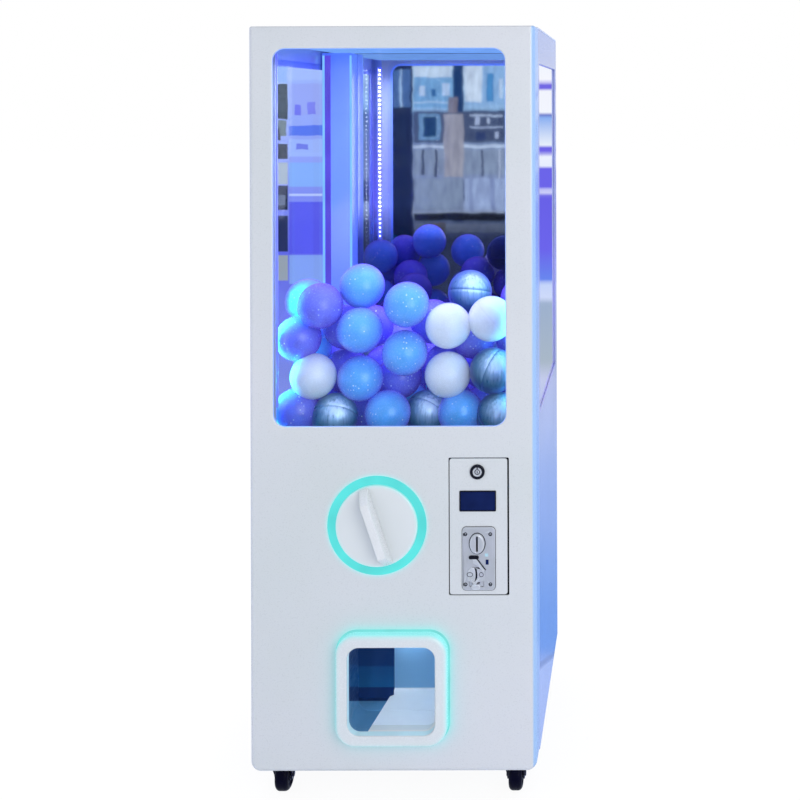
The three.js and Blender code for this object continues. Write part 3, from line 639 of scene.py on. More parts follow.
def pearl_shell(name):
    """Pearl finish in painted light: a painted silver highlight where the ball faces up and to the front,
    falling away to painted navy shade, with a painted violet rim and a faint glow.
    """
    material, tree, place = blank(name)
    facing = field(tree, "LayerWeight", "Facing", {"Blend": 0.4})
    normal = field(tree, "TexCoord", "Normal")
    light_from = {0: normal, 1: (0.3, -0.8, 0.52)}
    toward = field(tree, "VectorMath", "Value", light_from, operation="DOT_PRODUCT")
    silk = noise(place, 60.0, 4.0, (3.0, 3.0, 0.3))
    tones = bands(toward + (silk - 0.5) * 0.3, [
        (-0.5, 0.014, 0.03, 0.14), (0.25, 0.02, 0.06, 0.17), (0.5, 0.04, 0.12, 0.2),
        (0.7, 0.11, 0.22, 0.33), (0.86, 0.27, 0.42, 0.56), (0.96, 0.58, 0.74, 0.86),
        (1.15, 0.8, 0.9, 0.97),
    ])
    # painted shade: a violet rim at the outline
    rim = facing.math("POWER", 3.0, True)
    tones = blend(rim * 0.8, tones, (0.13, 0.15, 0.6, 1))
    # painted light: the ball glows faintly in its own tones
    return painted(material, tones, spread(silk, 0.26, 0.42), metallic=0.2, coat=0.3, coat_roughness=0.12,
                   normal=bumps(silk, 0.06, 0.0006), light=tones, light_level=0.22)


# the side panels' painted reflection and shade by height, as (metres, red, green, blue)
SIDE_REFLECTION_BANDS = [
    (-0.1, 0.46, 0.54, 0.8), (0.16, 0.48, 0.57, 0.82), (0.163, 0.05, 0.1, 0.3), (0.169, 0.05, 0.1, 0.3),
    (0.172, 0.15, 0.29, 0.66), (0.28, 0.17, 0.32, 0.68), (0.38, 0.26, 0.4, 0.7),
    (0.47, 0.38, 0.47, 0.72), (0.6, 0.44, 0.51, 0.7), (0.7, 0.5, 0.55, 0.69), (0.8, 0.42, 0.46, 0.62),
    (1.5, 0.38, 0.42, 0.6), (1.52, 0.24, 0.3, 0.56), (1.58, 0.29, 0.36, 0.6),
]
M_SHELL = surface(
    "shell_gloss", (0.622, 0.665, 0.672), 0.3, coat=0.25, shade=0.03, patch=2.2, grain=0.015,
    grain_scale=420, tint=(0.635, 0.65, 0.685), edge=0.05, spill=door_spill,
    # painted light: the right edge is tinted blue, as lit from the right
    painted_edge_light=(0.281, (0.34, 0.52, 0.78)),
)
M_DIAL = surface(
    "dial_gloss", (0.675, 0.715, 0.725), 0.34, coat=0.1, shade=0.02, patch=6, grain=0.02,
    grain_scale=600, edge=0.05, spill=dial_spill,
)
# painted reflection and shade: the side panels take their colour from the bands by height
M_SIDE = surface(
    "side_gloss", (0.4, 0.5, 0.78), 0.2, coat=0.2, shade=0.1, patch=3.5, grain=0.02,
    grain_scale=300, edge=0.05, painted_bands=SIDE_REFLECTION_BANDS, band_slope=0.42, specular=0.35,
)
M_ROOF = surface("roof_paint", (0.66, 0.69, 0.76), 0.4, grain=0.05, grain_scale=500, edge=0.1)
M_STEEL = surface(
    "brushed_steel", (0.5, 0.52, 0.55), 0.32, metallic=1, grain=0.12, grain_scale=300,
    stretch=(1, 1, 14), shade=0.08, edge=0.2,
)
M_SILVER = surface(
    "satin_silver", (0.6, 0.63, 0.66), 0.36, metallic=0.45, grain=0.1, grain_scale=260,
    stretch=(12, 1, 1), shade=0.06, patch=30, edge=0.3, tint=(0.58, 0.6, 0.66),
)
M_BLACK = surface(
    "black_plastic", (0.006, 0.007, 0.014), 0.3, shade=0.3, grain=0.1, grain_scale=1500,
    edge=0.5, specular=0.2,
)
M_RUBBER = surface(
    "tread_rubber", (0.002, 0.002, 0.012), 0.35, shade=0.3, grain=0.2, grain_scale=1100,
    edge=0.5, specular=0.06,
)
# painted shade: the mirror is darkened up to about 1.1 m
M_MIRROR = surface(
    "chamber_mirror", (0.88, 0.86, 0.86), 0.02, metallic=1, grain=0.0, shade=0.05, patch=1.5,
    painted_bands=[(0.74, 0.14, 0.14, 0.19), (1.08, 0.17, 0.17, 0.22), (1.17, 0.88, 0.86, 0.86),
                  (1.58, 0.88, 0.86, 0.86)],
)
M_NYLON = surface("nylon", (0.75, 0.76, 0.79), 0.45, grain=0.08, grain_scale=900, edge=0.06)
M_GALV = surface("galvanised", (0.5, 0.52, 0.55), 0.38, metallic=0.9, shade=0.07, patch=24, edge=0.1)
M_CIRCUIT = surface("circuit_green", (0.01, 0.09, 0.035), 0.4, shade=0.4, patch=140, grain=0.3)
M_SCREEN = surface(
    "screen_navy", (0.003, 0.008, 0.05), 0.2, shade=0.3, patch=25, grain=0.0, specular=0.12,
    emission=(0.005, 0.012, 0.062), emission_strength=0.5,
)
M_CLEAR = pane("clear_pane", (0.95, 0.97, 1.0), reflect=0.6)
M_SIDE_PANE = pane("side_pane", (0.86, 0.9, 1.0), reflect=2.6, inner_reflect=0.22)
M_TINTED = pane("tinted_acrylic", (0.93, 0.96, 0.98), reflect=0.35, smudge=0.08)
M_RING = glow("ring_turquoise", (0.125, 0.86, 0.845), 0.98)
M_READY = glow("ready_lamp_lit", (0.5, 0.78, 0.95), 0.95)
M_EXIT_GLOW = glow("exit_turquoise", (0.22, 0.82, 0.8), 1.0)
M_LED = glow("led_dots", (0.85, 0.95, 1.0), 14.0)
M_LED_TAPE = surface("led_tape", (0.3, 0.32, 0.7), 0.5, grain=0.1, emission=(0.1, 0.1, 0.9),
                     emission_strength=0.6)
M_CEILING = glow("ceiling_diffuser", (0.2, 0.41, 0.9), 1.15)
# painted light: the post is drawn blue and glows, as lit by the blue chamber lights
M_POST = surface(
    "post_lit", (0.15, 0.24, 0.72), 0.3, coat=0.25, shade=0.1, patch=5, grain=0.03,
    emission=(0.12, 0.24, 1.0), emission_strength=0.38,
)
M_VIOLET = glow("violet_slot", (0.14, 0.09, 0.85), 0.95)
M_CYAN_LINE = glow("cyan_edge", (0.25, 0.6, 1.0), 1.2)
# painted light and shade on the delivery box walls
M_LINING = lining("exit_lining", 0.2)
M_BEZEL = surface(
    "bezel_gloss", (0.68, 0.72, 0.735), 0.26, coat=0.3, shade=0.02, patch=6, grain=0.02,
    grain_scale=500, edge=0.05, spill=bezel_spill,
)
# painted light: the sleeve glows turquoise, as lit by the exit ring
M_SLEEVE = surface(
    "sleeve_lit", (0.55, 0.74, 0.78), 0.4, shade=0.04, patch=20, grain=0.03, specular=0.2,
    emission=(0.5, 0.85, 0.88), emission_strength=0.1,
)
M_GRIP = surface(
    "grip_gloss", (0.7, 0.725, 0.735), 0.28, coat=0.3, shade=0.02, patch=8, grain=0.02,
    grain_scale=600, edge=0.12,
)
M_BRIGHT = surface("bright_plate", (0.7, 0.73, 0.76), 0.28, metallic=0.4, grain=0.04, shade=0.08, patch=60)
M_CASTER = surface(
    "caster_black", (0.002, 0.002, 0.02), 0.14, shade=0.3, grain=0.03, grain_scale=700,
    coat=0.2, edge=0.4, specular=0.15,
)
# painted light: the seal is drawn blue and glows, as lit by the chamber lights
M_SEAL = surface(
    "window_seal", (0.4, 0.55, 0.95), 0.35, shade=0.05, patch=12, grain=0.05,
    emission=(0.2, 0.4, 1.0), emission_strength=0.2,
)
# painted shade and reflection bands, and a faint painted glow, on the curtain
M_CURTAIN = lining("curtain_pvc", 0.26, split=False)


# ---------------- front door


def shell_ring(box, inset, rise, count=10):
    """Outline of the front shell drawn in by inset at its sides and foot, and less at its top."""
    x0, x1, z0, z1 = box
    radius, top = max(21 - inset, 3.0), max(5.0 - inset * 0.35, 1.2)
    return rounded_rect(x0 + inset, x1 - inset, z0 + inset, z1 - inset * rise, radius, count, top)


def front_shell():
    (x0, x1), (y0, y1), (z0, z1) = span("front_shell")
    fillet, thick = 11.0, SKIN
    box = (x0, x1, z0, z1)
    rings = []
    for s, c in reversed(quarter(10)):
        rings.append((shell_ring(box, fillet * (1 - c), 0.3), y0 + fillet * (1 - s)))
    rings.append((shell_ring(box, 0, 0.3), y1))
    rings.append((shell_ring(box, thick, 1.0), y1))
    inner = fillet - thick
    for s, c in quarter(8):
        rings.append((shell_ring(box, thick + inner * (1 - c), 1.0), y0 + thick + inner * (1 - s)))
    cx0, cx1, cz0, cz1 = coin_rect()
    holes = [
        (rounded_rect(*WINDOW, 12), 1.6),
        (ellipse(*DIAL, RING_OUTER + 0.3, count=96), 0.6),
        (rounded_rect(cx0 - 2, cx1 + 3.5, cz0 - 2, cz1 + 2, 3, 4), 0.5),
        (centred(EXIT, 92.3, 92.3, 27, 10), 0.5),
    ]
    bm = bmesh.new()
    pressed(bm, rings, [eased_rings(h, -1, edge, y0, y0 + thick, 4) for h, edge in holes])
    shell = piece("front_shell_skin", bm, "front_door", M_SHELL, "front_shell", 40)
    hinge_slots_and_lugs(shell, x0, y1)


def hinge_slots_and_lugs(shell, x0, y1):
    """Slots in the hinge-side flange for the cabinet's brackets, and the lugs that hold the pins."""
    slots, lugs, bores = bmesh.new(), bmesh.new(), bmesh.new()
    for name in ("lower_hinge_pin", "upper_hinge_pin"):
        (px0, px1), (py0, py1), (pz0, _) = span(name)
        cx, cy, ear = (px0 + px1) / 2, (py0 + py1) / 2, pz0 + 3
        block(slots, x0 - 2, x0 + 8, y1 - 16, y1 + 4, ear - 4, ear + 6, 0.2, 1)
        block(lugs, x0 + 3.2, cx + 12, cy - 12, cy + 5, ear + 6.6, ear + 20, 0.6)
        lathe_solid(bores, [(3.4, ear), (3.4, ear + 24)], (cx, cy, 0), "z", 24)
    carve(shell, slots)
    carve(piece("hinge_lugs", lugs, "front_door", M_STEEL), bores)


def window_trim():
    """A thin clear seal round the inside of the window opening, drawn blue and glowing as painted light."""
    outline = rounded_rect(*WINDOW, 12)
    section = [(5, 3.02), (-0.2, 3.02), (-0.9, 2.6), (-1.2, 2.9), (-1.2, 3.28), (5, 3.28)]
    bm = bmesh.new()
    moulding(bm, outline, [(out, FRONT + deep) for out, deep in section])
    piece("window_trim", bm, "front_door", M_SEAL)


def dial_ring():
    middle, half = (RING_OUTER + RING_INNER) / 2, (RING_OUTER - RING_INNER) / 2 - 0.15
    profile = []
    steps = 14
    for k in range(steps + 1):
        t = math.pi * k / steps
        bulge = 1.3 * math.sin(t) ** 0.6
        profile.append((middle - half * math.cos(t), FRONT - 0.2 - bulge))
    profile += [(middle + half, FRONT + 2.6), (middle - half, FRONT + 2.6)]
    bm = bmesh.new()
    lathe(bm, profile, DIAL_CENTRE, "y", 128)
    piece("dial_glow_ring", bm, "front_door", M_RING, "dial_light_ring")


def dial_plate():
    (y0, y1) = span("dial_disc")[1]
    r, ease = RING_INNER - 0.35, 2.5
    dish = [(0.4, 0.5), (20, 0.48), (45, 0.35), (66, 0.15), (76, 0.0)]
    profile = [(radius, y0 + deep) for radius, deep in dish]
    profile += [(r - ease + ease * s, y0 + ease * (1 - c)) for s, c in quarter(6)]
    bm = bmesh.new()
    lathe_solid(bm, [*profile, (r, y1), (0.4, y1)], DIAL_CENTRE, "y", 128)
    piece("dial_plate", bm, "dial", M_DIAL, "dial_disc")


def dial_bar():
    """The grip: a bar with ramped ends and softly rounded edges."""
    (crest_y, y_base) = span("dial_grip")[1]
    height = y_base - crest_y - 0.2
    lean, reach, run = GRIP["lean"], GRIP["reach"], GRIP["ramp"]
    bm = bmesh.new()
    grid = []
    for along, up in [
        (-reach, 1.5), (-reach + 1.5, 4.0), (-reach + run, height),
        (reach - run, height), (reach - 1.5, 4.0), (reach, 1.5),
    ]:
        half = GRIP["base"] + (GRIP["crest"] - GRIP["base"]) * up / height
        row = []
        for across, rise in ((-GRIP["base"], 0.0), (-half, up), (half, up), (GRIP["base"], 0.0)):
            x = across * math.cos(lean) - along * math.sin(lean)
            z = across * math.sin(lean) + along * math.cos(lean)
            row.append(bm.verts.new(((DIAL[0] + x) * MM, (y_base - rise) * MM, (DIAL[1] + z) * MM)))
        grid.append(row)
    skin(bm, grid)
    bmesh.ops.recalc_face_normals(bm, faces=bm.faces)
    sharp = [e for e in bm.edges if e.calc_face_angle(0) > 0.3]
    bmesh.ops.bevel(bm, geom=sharp, offset=1.1 * MM, segments=4, affect="EDGES", profile=0.5,
                    clamp_overlap=True)
    piece("dial_bar", bm, "dial", M_GRIP, "dial_grip", 30)


def exit_bezel():
    (x0, x1), (y0, y1), (z0, z1) = span("exit_frame")
    outline = rounded_rect(x0, x1, z0, z1, 40, 16)
    opening = centred(EXIT, 88.0, 88.0, 24, 16)
    base = FRONT - 3.6
    big, small = 8.0, 3.0
    rings = [(outline, base)]
    rings += [(offset(outline, -big * (1 - c)), y0 + big * (1 - s)) for s, c in quarter(8)]
    rings += [(offset(outline, -big - 1), y0), (offset(opening, small + 1), y0)]
    rings += [(offset(opening, small * (1 - s)), y0 + small * (1 - c)) for s, c in quarter(6)]
    inner_from = len(rings) - 1
    rings += [
        (opening, y0 + 19.0), (opening, y1 + 6.4), (offset(opening, 3.8), y1 + 6.4),
        (offset(opening, 3.8), base),
    ]
    bm = bmesh.new()
    made = closed_loft(bm, rings)
    for start, index in ((inner_from, 1), (inner_from + 1, 2)):
        part = {v for ring in made[start:start + 2] for v in ring}
        for face in bm.faces:
            if all(v in part for v in face.verts):
                face.material_index = index
    piece("exit_bezel", bm, "front_door", [M_BEZEL, M_SLEEVE, M_LINING], "exit_frame", 50)


def exit_glow():
    """The lit edge behind the bezel."""
    (x0, x1), (y0, y1), (z0, z1) = span("exit_light_ring")
    outline = rounded_rect(x0, x1, z0, z1, 43, 16)
    bm = bmesh.new()
    moulding(bm, outline, [(-17.6, y0), (-0.8, y0), (-0.2, y0 + 0.3), (0, y0 + 0.9), (0, y1), (-17.6, y1)])
    piece("exit_glow", bm, "front_door", M_EXIT_GLOW, "exit_light_ring", 60)


def pin(bm, low, high, radius, ease, centre, count):
    """A round pin along x from low to high with eased ends."""
    ends = [(radius - ease[0], low), (radius, low + ease[1]), (radius, high - ease[1]),
            (radius - ease[0], high)]
    lathe_solid(bm, ends, (0, *centre), "x", count)


def exit_window():
    (_, x1), (y0, y1), (z0, z1) = span("exit_flap")
    half = 84.0
    bm = bmesh.new()
    middle = (y0 + y1) / 2
    sheet(bm, rounded_rect(-half, half, z0, z1, 20, 10), [], middle - 1.5, middle + 1.5, 0.8, 0.3)
    for side in (-1, 1):
        low, high = sorted((side * (half - 10), side * (x1 - 0.4)))
        pin(bm, low, high, 1.9, (0.3, 0.4), (middle, z1 - 4), 20)
    piece("exit_window", bm, "exit_flap", M_TINTED, "exit_flap")


def quads(bm, row_a, row_b):
    """Faces between two rows of the same length."""
    for i in range(len(row_a) - 1):
        bm.faces.new((row_a[i], row_a[i + 1], row_b[i + 1], row_b[i]))


def exit_curtain():
    """A soft curtain that hangs between the mouth and the place where capsules land."""
    (x0, _), _, (z0, z1) = span("exit_box")
    left, right, hang = x0 + 5, -24.0, -160.0
    top, bottom = z1 - 5, z0 + 5.5
    columns, rows = 28, 14
    bm = bmesh.new()
    sheets = []
    for side in (0.0, 1.6):
        grid = []
        for j in range(rows + 1):
            t = j / rows
            row = []
            for i in range(columns + 1):
                s = i / columns
                x = left + (right - left) * s
                z = top + (bottom - top) * t
                notch = 7.0 * max(0.0, (s - 0.86) / 0.14) * max(0.0, (t - 0.85) / 0.15)
                wave = (0.4 + 1.6 * t) * math.sin(2 * math.pi * (x + 20 * t) / 46)
                row.append(bm.verts.new((x * MM, (hang + side + wave) * MM, (z + notch) * MM)))
            grid.append(row)
        sheets.append(grid)
    for grid in sheets:
        for a, b in zip(grid, grid[1:]):
            quads(bm, a, b)
    front, back = sheets
    for end in (0, -1):
        quads(bm, front[end], back[end])
        quads(bm, [row[end] for row in front], [row[end] for row in back])
    piece("chute_curtain", bm, "cabinet", M_CURTAIN, smooth=60)


# ---------------- coin door


def coin_gap_shade():
    """Painted shade: a dark frame behind the gap round the coin door."""
    x0, x1, z0, z1 = coin_rect()
    outline = rounded_rect(x0 - 8, x1 + 9, z0 - 12, z1 + 8, 3, 3)
    hole = rounded_rect(x0 + 4, x1 - 4, z0 - 1.5, z1 - 4, 2, 3)
    bm = bmesh.new()
    sheet(bm, outline, [hole], FRONT + 9.6, FRONT + 11, 0.3, 0.3)
    piece("coin_door_gap_shade", bm, "front_door", M_BLACK)


def coin_door():
    x0, x1, z0, z1 = coin_rect()
    screen = span("display_screen")
    outline = rounded_rect(x0, x1, z0, z1, 5, 6)
    holes = [
        rounded_rect(146, 201, 448, 564, 1, 2),
        rounded_rect(screen[0][0] + 2, screen[0][1] - 2, screen[2][0] + 2, screen[2][1] - 2, 1, 2),
        ellipse(*LOCK, 11.3, count=40),
    ]
    bm = bmesh.new()
    sheet(bm, outline, holes, FRONT, FRONT + SKIN, 0.6, 0.3)
    piece("coin_door_sheet", bm, "coin_door", M_SHELL, "coin_door_panel")


def display():
    (x0, x1), (y0, y1), (z0, z1) = span("display_screen")
    bm = bmesh.new()
    rim = rounded_rect(x0, x1, z0, z1, 2.0, 4)
    inner = rounded_rect(x0 + 2.4, x1 - 2.4, z0 + 2.4, z1 - 2.4, 0.8, 4)
    closed_loft(bm, [
        (rim, FRONT - 0.3), (rim, y0 + 0.5), (offset(rim, -0.5), y0), (offset(inner, 0.3), y0),
        (inner, y0 + 0.4), (inner, FRONT - 0.3),
    ])
    piece("display_rim", bm, "coin_door", M_BLACK)
    bm = bmesh.new()
    sheet(bm, offset(inner, -0.1), [], y0 + 0.5, FRONT - 0.4, 0.2, 0.1)
    block(bm, x0 + 3.5, x1 - 3.5, FRONT + 0.2, y1, z0 + 3.5, z1 - 3.5, 0.6)
    piece("display_glass", bm, "coin_door", M_SCREEN, "display_screen")


def screw_head(bm, x, z, y_face, r):
    """A low domed screw."""
    profile = [(max(0.2, r * s), y_face - 1.1 * c) for s, c in quarter(5)]
    lathe_solid(bm, [*profile, (r, y_face + 0.1)], (x, 0, z), "y", 24)


def coin_face():
    (x0, x1), (y0, y1), (z0, z1) = span("coin_plate")
    top = FRONT - 3.0
    outline = rounded_rect(x0, x1, z0, z1, 8, 8)
    cup_hole = rounded_rect(155, 184, 449, 474, 2.5, 4)
    button_hole = centred(REJECT, 10.3, 3.8, 3.7, 6)
    slot_hole = centred(SLOT, 2.4, 16, 1.0, 3)
    sinks = [ellipse(x, z, 3.9, count=28) for x, z in SCREWS]
    bm = bmesh.new()
    sheet(bm, outline, [cup_hole, button_hole, slot_hole, *sinks], top, y1, 1.8, 0.3)
    piece("coin_face", bm, "coin_door", M_SILVER, "coin_plate")

    # screws in countersinks drawn black as painted shade, and a painted shade line round the plate
    bm = bmesh.new()
    shade_line = [(0.9, FRONT - 0.9), (-3, FRONT - 0.9), (-3, FRONT - 0.4), (0.9, FRONT - 0.4)]
    moulding(bm, outline, shade_line)
    for x, z in SCREWS:
        sink_shade = [(2.2, top + 0.5), (3.8, top + 0.2), (3.8, y1 - 0.1), (2.2, y1 - 0.1)]
        lathe(bm, sink_shade, (x, 0, z), "y", 24)
    # painted shade: black behind the coin slot
    block(bm, SLOT[0] - 3.5, SLOT[0] + 3.5, top + 1.2, y1 - 0.1, SLOT[1] - 17, SLOT[1] + 17, 0.2)
    # painted shade: a dark cross on each screw head
    for x, z in SCREWS:
        upright = (x < SLOT[0]) == (z < SLOT[1])
        w, h = (0.5, 2.0) if upright else (2.0, 0.5)
        block(bm, x - w, x + w, top - 0.9, top - 0.2, z - h, z + h, 0.1, 1)
    piece("coin_plate_shade", bm, "coin_door", M_BLACK)
    bm = bmesh.new()
    for x, z in SCREWS:
        screw_head(bm, x, z, top + 0.5, 2.1)
    piece("coin_plate_screws", bm, "coin_door", M_STEEL)

    # oval entry with its slot, standing in a groove drawn black as painted shade
    oval = ellipse(*SLOT, 16.2, 21.2, 64)
    slot = centred(SLOT, 2, 15.5, 1.0, 3)
    bm = bmesh.new()
    pressed(
        bm,
        [(offset(oval, -4.6), y0), (offset(oval, -3.2), y0 + 0.3), (offset(oval, -1.6), y0 + 1.6),
         (offset(oval, -0.9), top - 1.0), (offset(oval, -0.9), top + 0.05)],
        [[(offset(slot, 1.2), y0), (offset(slot, 0.3), y0 + 0.5), (slot, y0 + 1.2), (slot, top + 0.05)]],
    )
    piece("coin_entry", bm, "coin_door", M_SILVER, smooth=40)
    bm = bmesh.new()
    # painted shade: the groove round the oval is black
    groove = [(0.7, top - 0.15), (-0.8, top - 0.9), (-0.85, top + 0.05), (0.7, top + 0.05)]
    moulding(bm, oval, groove)
    piece("coin_entry_shade_ring", bm, "coin_door", M_BLACK)
    coin_guides(top)


def coin_guides(top):
    """The guide rib under the button, the return slit between its cheeks, the lip and the spout."""
    bm = bmesh.new()
    rib = [(161.5, 506.5), (168.5, 506.5), (186.5, 483.5), (183, 481.5), (171, 493), (163, 497)]
    raised(bm, rib, top, 2.4)
    for bow, far in ((-1, (151.5, 152.5)), (1, (186.5, 185.5))):
        slit = []
        for k in range(7):
            t = k / 6
            slit.append((167.2 + 2.9 * math.sin(math.pi * t) - 0.8 * t + bow * 1.7, 488 - 30 * t))
        raised(bm, [*slit, (far[0], 463), (far[1], 482), (163 + 3 * bow, 489)], top, 2.6)
    spout = [(161, 455), (175, 455), (178, 449), (173.5, 444), (163.5, 444), (158.5, 449)]
    raised(bm, spout, top, 3.2, 1.4)
    piece("coin_guides", bm, "coin_door", M_SILVER, smooth=25)
    bm = bmesh.new()
    chevron = [(154, 469), (166, 452.5), (178, 469), (172, 469), (166, 460.5), (160, 469)]
    raised(bm, chevron, top - 1.2, 3.4, 0.8)
    piece("coin_chevron", bm, "coin_door", M_BRIGHT, smooth=25)
    bm = bmesh.new()
    # painted shade: black in the return slit between the cheeks
    block(bm, 160, 176, top - 0.25, top + 0.1, 456, 489, 0.1, 1)
    # painted shadow: a black strip along the rib's upper right side
    raised(bm, [(169, 507.5), (170.6, 508), (188.8, 484), (187.2, 483)], top, 1.4, 0.3)
    for x, w in ((156.5, 6.2), (179.5, 4.6)):
        rim = [(0, top - 2.7), (-1.1, top - 2.7), (-1.1, top - 2.4), (0, top - 2.4)]
        moulding(bm, ellipse(x, 475.2, w, 4.8, 28), rim)
    piece("coin_slit_dark_marks", bm, "coin_door", M_BLACK)
    bm = bmesh.new()
    block(bm, 188, 194, top - 0.7, top + 0.2, 494.5, 504.5, 0.3)
    piece("status_lamp", bm, "coin_door", M_SCREEN)
    bm = bmesh.new()
    block(bm, 186.5, 193, top - 0.9, top + 0.2, 510.8, 516.8, 0.5)
    piece("ready_lamp", bm, "coin_door", M_READY)


def coin_moving_bits():
    (_, _), (y0, y1), _ = span("reject_button")
    pill = centred(REJECT, 9.9, 3.4, 3.3)
    bm = bmesh.new()
    sheet(bm, pill, [], y0, y1, 1.0, 0.3)
    piece("reject_key", bm, "reject_button", M_BLACK, "reject_button")
    (x0, x1), (y0, y1), (z0, z1) = span("coin_return_flap")
    bm = bmesh.new()
    outline = rounded_rect(x0 + 0.3, x1 - 0.3, z0, z1 - 1, 2, 4)
    sheet(bm, outline, [], FRONT - 2, FRONT - 0.7, 0.4, 0.3)
    lathe_solid(bm, [(1.0, x0), (1.2, x0 + 0.3), (1.2, x1 - 0.3), (1.0, x1)],
                (0, FRONT - 1.3, z1 - 1.5), "x", 16)
    piece("return_flap_plate", bm, "coin_return_flap", M_SILVER, "coin_return_flap")


def lock():
    (_, _), (y0, y1), _ = span("lock_ring")
    bm = bmesh.new()
    profile = [(9.7, y1), (9.7, y0 + 0.8), (10.2, y0), (13.2, y0), (14.6, y0 + 0.6), (15, y0 + 1.8),
               (15, FRONT - 0.3), (11, FRONT - 0.3), (11, y1)]
    lathe(bm, profile, LOCK_CENTRE, "y", 64)
    piece("lock_collar", bm, "coin_door", M_BLACK, "lock_ring")
    (_, x1), (y0, y1), _ = span("lock_core")
    bm = bmesh.new()
    profile = [
        (0.3, y0 + 0.5), (3.3, y0 + 0.4), (3.9, y0 + 0.9), (4.1, y0 + 2.6), (5.5, y0 + 2.6),
        (5.7, y0 + 0.8), (6.3, y0 + 0.2), (8.7, y0), (9.4, y0 + 0.8), (9.4, y1 - 3),
    ]
    lathe_solid(bm, profile, LOCK_CENTRE, "y", 48)
    block(bm, LOCK[0] - 6, x1, y1 - 3, y1, LOCK[1] - 6, LOCK[1] + 6, 0.8)
    piece("lock_barrel", bm, "lock_core", M_SILVER, "lock_core")
    bm = bmesh.new()
    block(bm, LOCK[0] - 1.4, LOCK[0] + 1.4, y0 - 0.3, y0 + 1.0, LOCK[1] + 6.6, LOCK[1] + 9.2, 0.3)
    block(bm, LOCK[0] - 0.7, LOCK[0] + 0.7, y0 + 0.2, y0 + 1.0, LOCK[1] - 2.6, LOCK[1] + 2.6, 0.2)
    lathe(bm, [(4.2, y0 + 1.4), (5.4, y0 + 1.4), (5.4, y0 + 2.7), (4.2, y0 + 2.7)], LOCK_CENTRE, "y", 36)
    piece("lock_keyway", bm, "lock_core", M_BLACK)


def mirrored(profile):
    """A (radius, along) profile followed by its mirror image."""
    return profile + [(r, -along) for r, along in reversed(profile)]


# ---------------- casters


def caster(end, side):
    tag = f"{end}_{side}"
    (x0, x1), (y0, y1), (z0, z1) = span(f"{tag}_wheel")
    cx, cy, cz = (x0 + x1) / 2, (y0 + y1) / 2, (z0 + z1) / 2
    r, w = (z1 - z0) / 2, (x1 - x0) / 2
    profile = [(4.3, -w + 2), (9, -w + 2), (9.6, -w + 0.6), (12, -w + 0.4), (13, -w + 3.2), (19, -w + 3.4)]
    profile += [(r - 9 + 9 * s, -w + 9 - 9 * c) for s, c in quarter(8)]
    bm = bmesh.new()
    lathe(bm, mirrored(profile), (cx, cy, cz), "x", 72)
    piece(f"{tag}_tyre", bm, f"{tag}_roller", M_RUBBER, f"{tag}_wheel")

    top = span(f"{tag}_fork")[2][1]
    swivel_y = cy + 24
    raceway = [(20, 0), (23, 0.3), (23, 2.4), (21, 3), (21, 4.4), (23, 5), (22.4, 7)]
    bm = bmesh.new()
    lathe_solid(bm, [(radius, top - down) for radius, down in raceway], (cx, swivel_y, 0), "z", 48)
    # cheeks: (height, front, back, outer half width), hugging the wheel as they come down
    sections = [
        (70, swivel_y - 26, swivel_y + 13, 24), (62, swivel_y - 28, swivel_y + 12, 23.6),
        (54, cy - 17, swivel_y + 4, 22.2), (44, cy - 14.5, cy + 16, 20.2), (36, cy - 12, cy + 12, 18.8),
        (28, cy - 10.5, cy + 9.5, 18.2), (23, cy - 6.5, cy + 5.5, 18.0),
    ]
    for s in (-1, 1):
        made = []
        for z, front, back, half in sections:
            corners = [(w + 1.5, front), (half, front), (half, back), (w + 1.5, back)]
            made.append([bm.verts.new(((cx + s * x) * MM, y * MM, z * MM)) for x, y in corners])
        skin(bm, made)
    block(bm, cx - 24, cx + 24, swivel_y - 26.4, swivel_y + 13.4, 66, 71, 1.5)
    yoke = piece(f"{tag}_yoke", bm, f"{tag}_swivel", M_CASTER, f"{tag}_fork", 30)
    round_edges(yoke, 1.1)
    bm = bmesh.new()
    pin(bm, cx - 17.6, cx + 17.6, 4, (0.4, 0.4), (cy, cz), 24)
    for s in (-1, 1):
        low, high = sorted((cx + s * 18.3, cx + s * 20.4))
        lathe_solid(bm, [(4.6, low), (5.4, low + 0.2), (5.4, high - 0.3), (4.6, high)], (0, cy, cz), "x", 24)
    piece(f"{tag}_axle", bm, f"{tag}_swivel", M_CASTER)


# ---------------- capsules
BALL_R = 48.5
# (x, z, how far behind the inner glass, kind); those set back further than BURIED can be pushed
FRONT_CAPSULES = [
    (92, 951, 0, "white"), (90, 846, 3, "white"), (-196, 844, 0, "white"), (182, 964, 8, "white"),
    (-1, 893, 0, "blue"), (-97, 838, 6, "blue"), (-97, 942, 0, "blue"), (3, 996, 2, "blue"),
    (-38, 765, 0, "blue"), (116, 763, 12, "blue"), (-181, 994, 0, "violet"), (-232, 922, 14, "violet"),
    (-231, 984, 72, "blue"), (-232, 770, 2, "violet"), (-232, 868, 66, "blue"), (186, 855, 0, "pearl"),
    (-150, 759, 0, "pearl"), (198, 759, 4, "pearl"), (38, 768, 52, "pearl"), (200, 985, 190, "violet"),
    (-150, 905, 62, "violet"), (32, 846, 74, "violet"), (140, 912, 78, "violet"),
    (46, 975, 84, "violet"), (-60, 985, 84, "blue"), (128, 1000, 80, "pearl"),
]
BURIED = 20
FILL_COUNT = 42
CAPSULE_LEVEL = 940  # capsules that come to rest above it are left out
FALL_STEPS, REST_STEPS, FALL = 700, 200, 1.2
FUNNEL_FOOT, FUNNEL_SLOPE, FUNNEL_SHEET = 697, 0.25, 4
FUNNEL_HOLE = (-32, 40, 198)


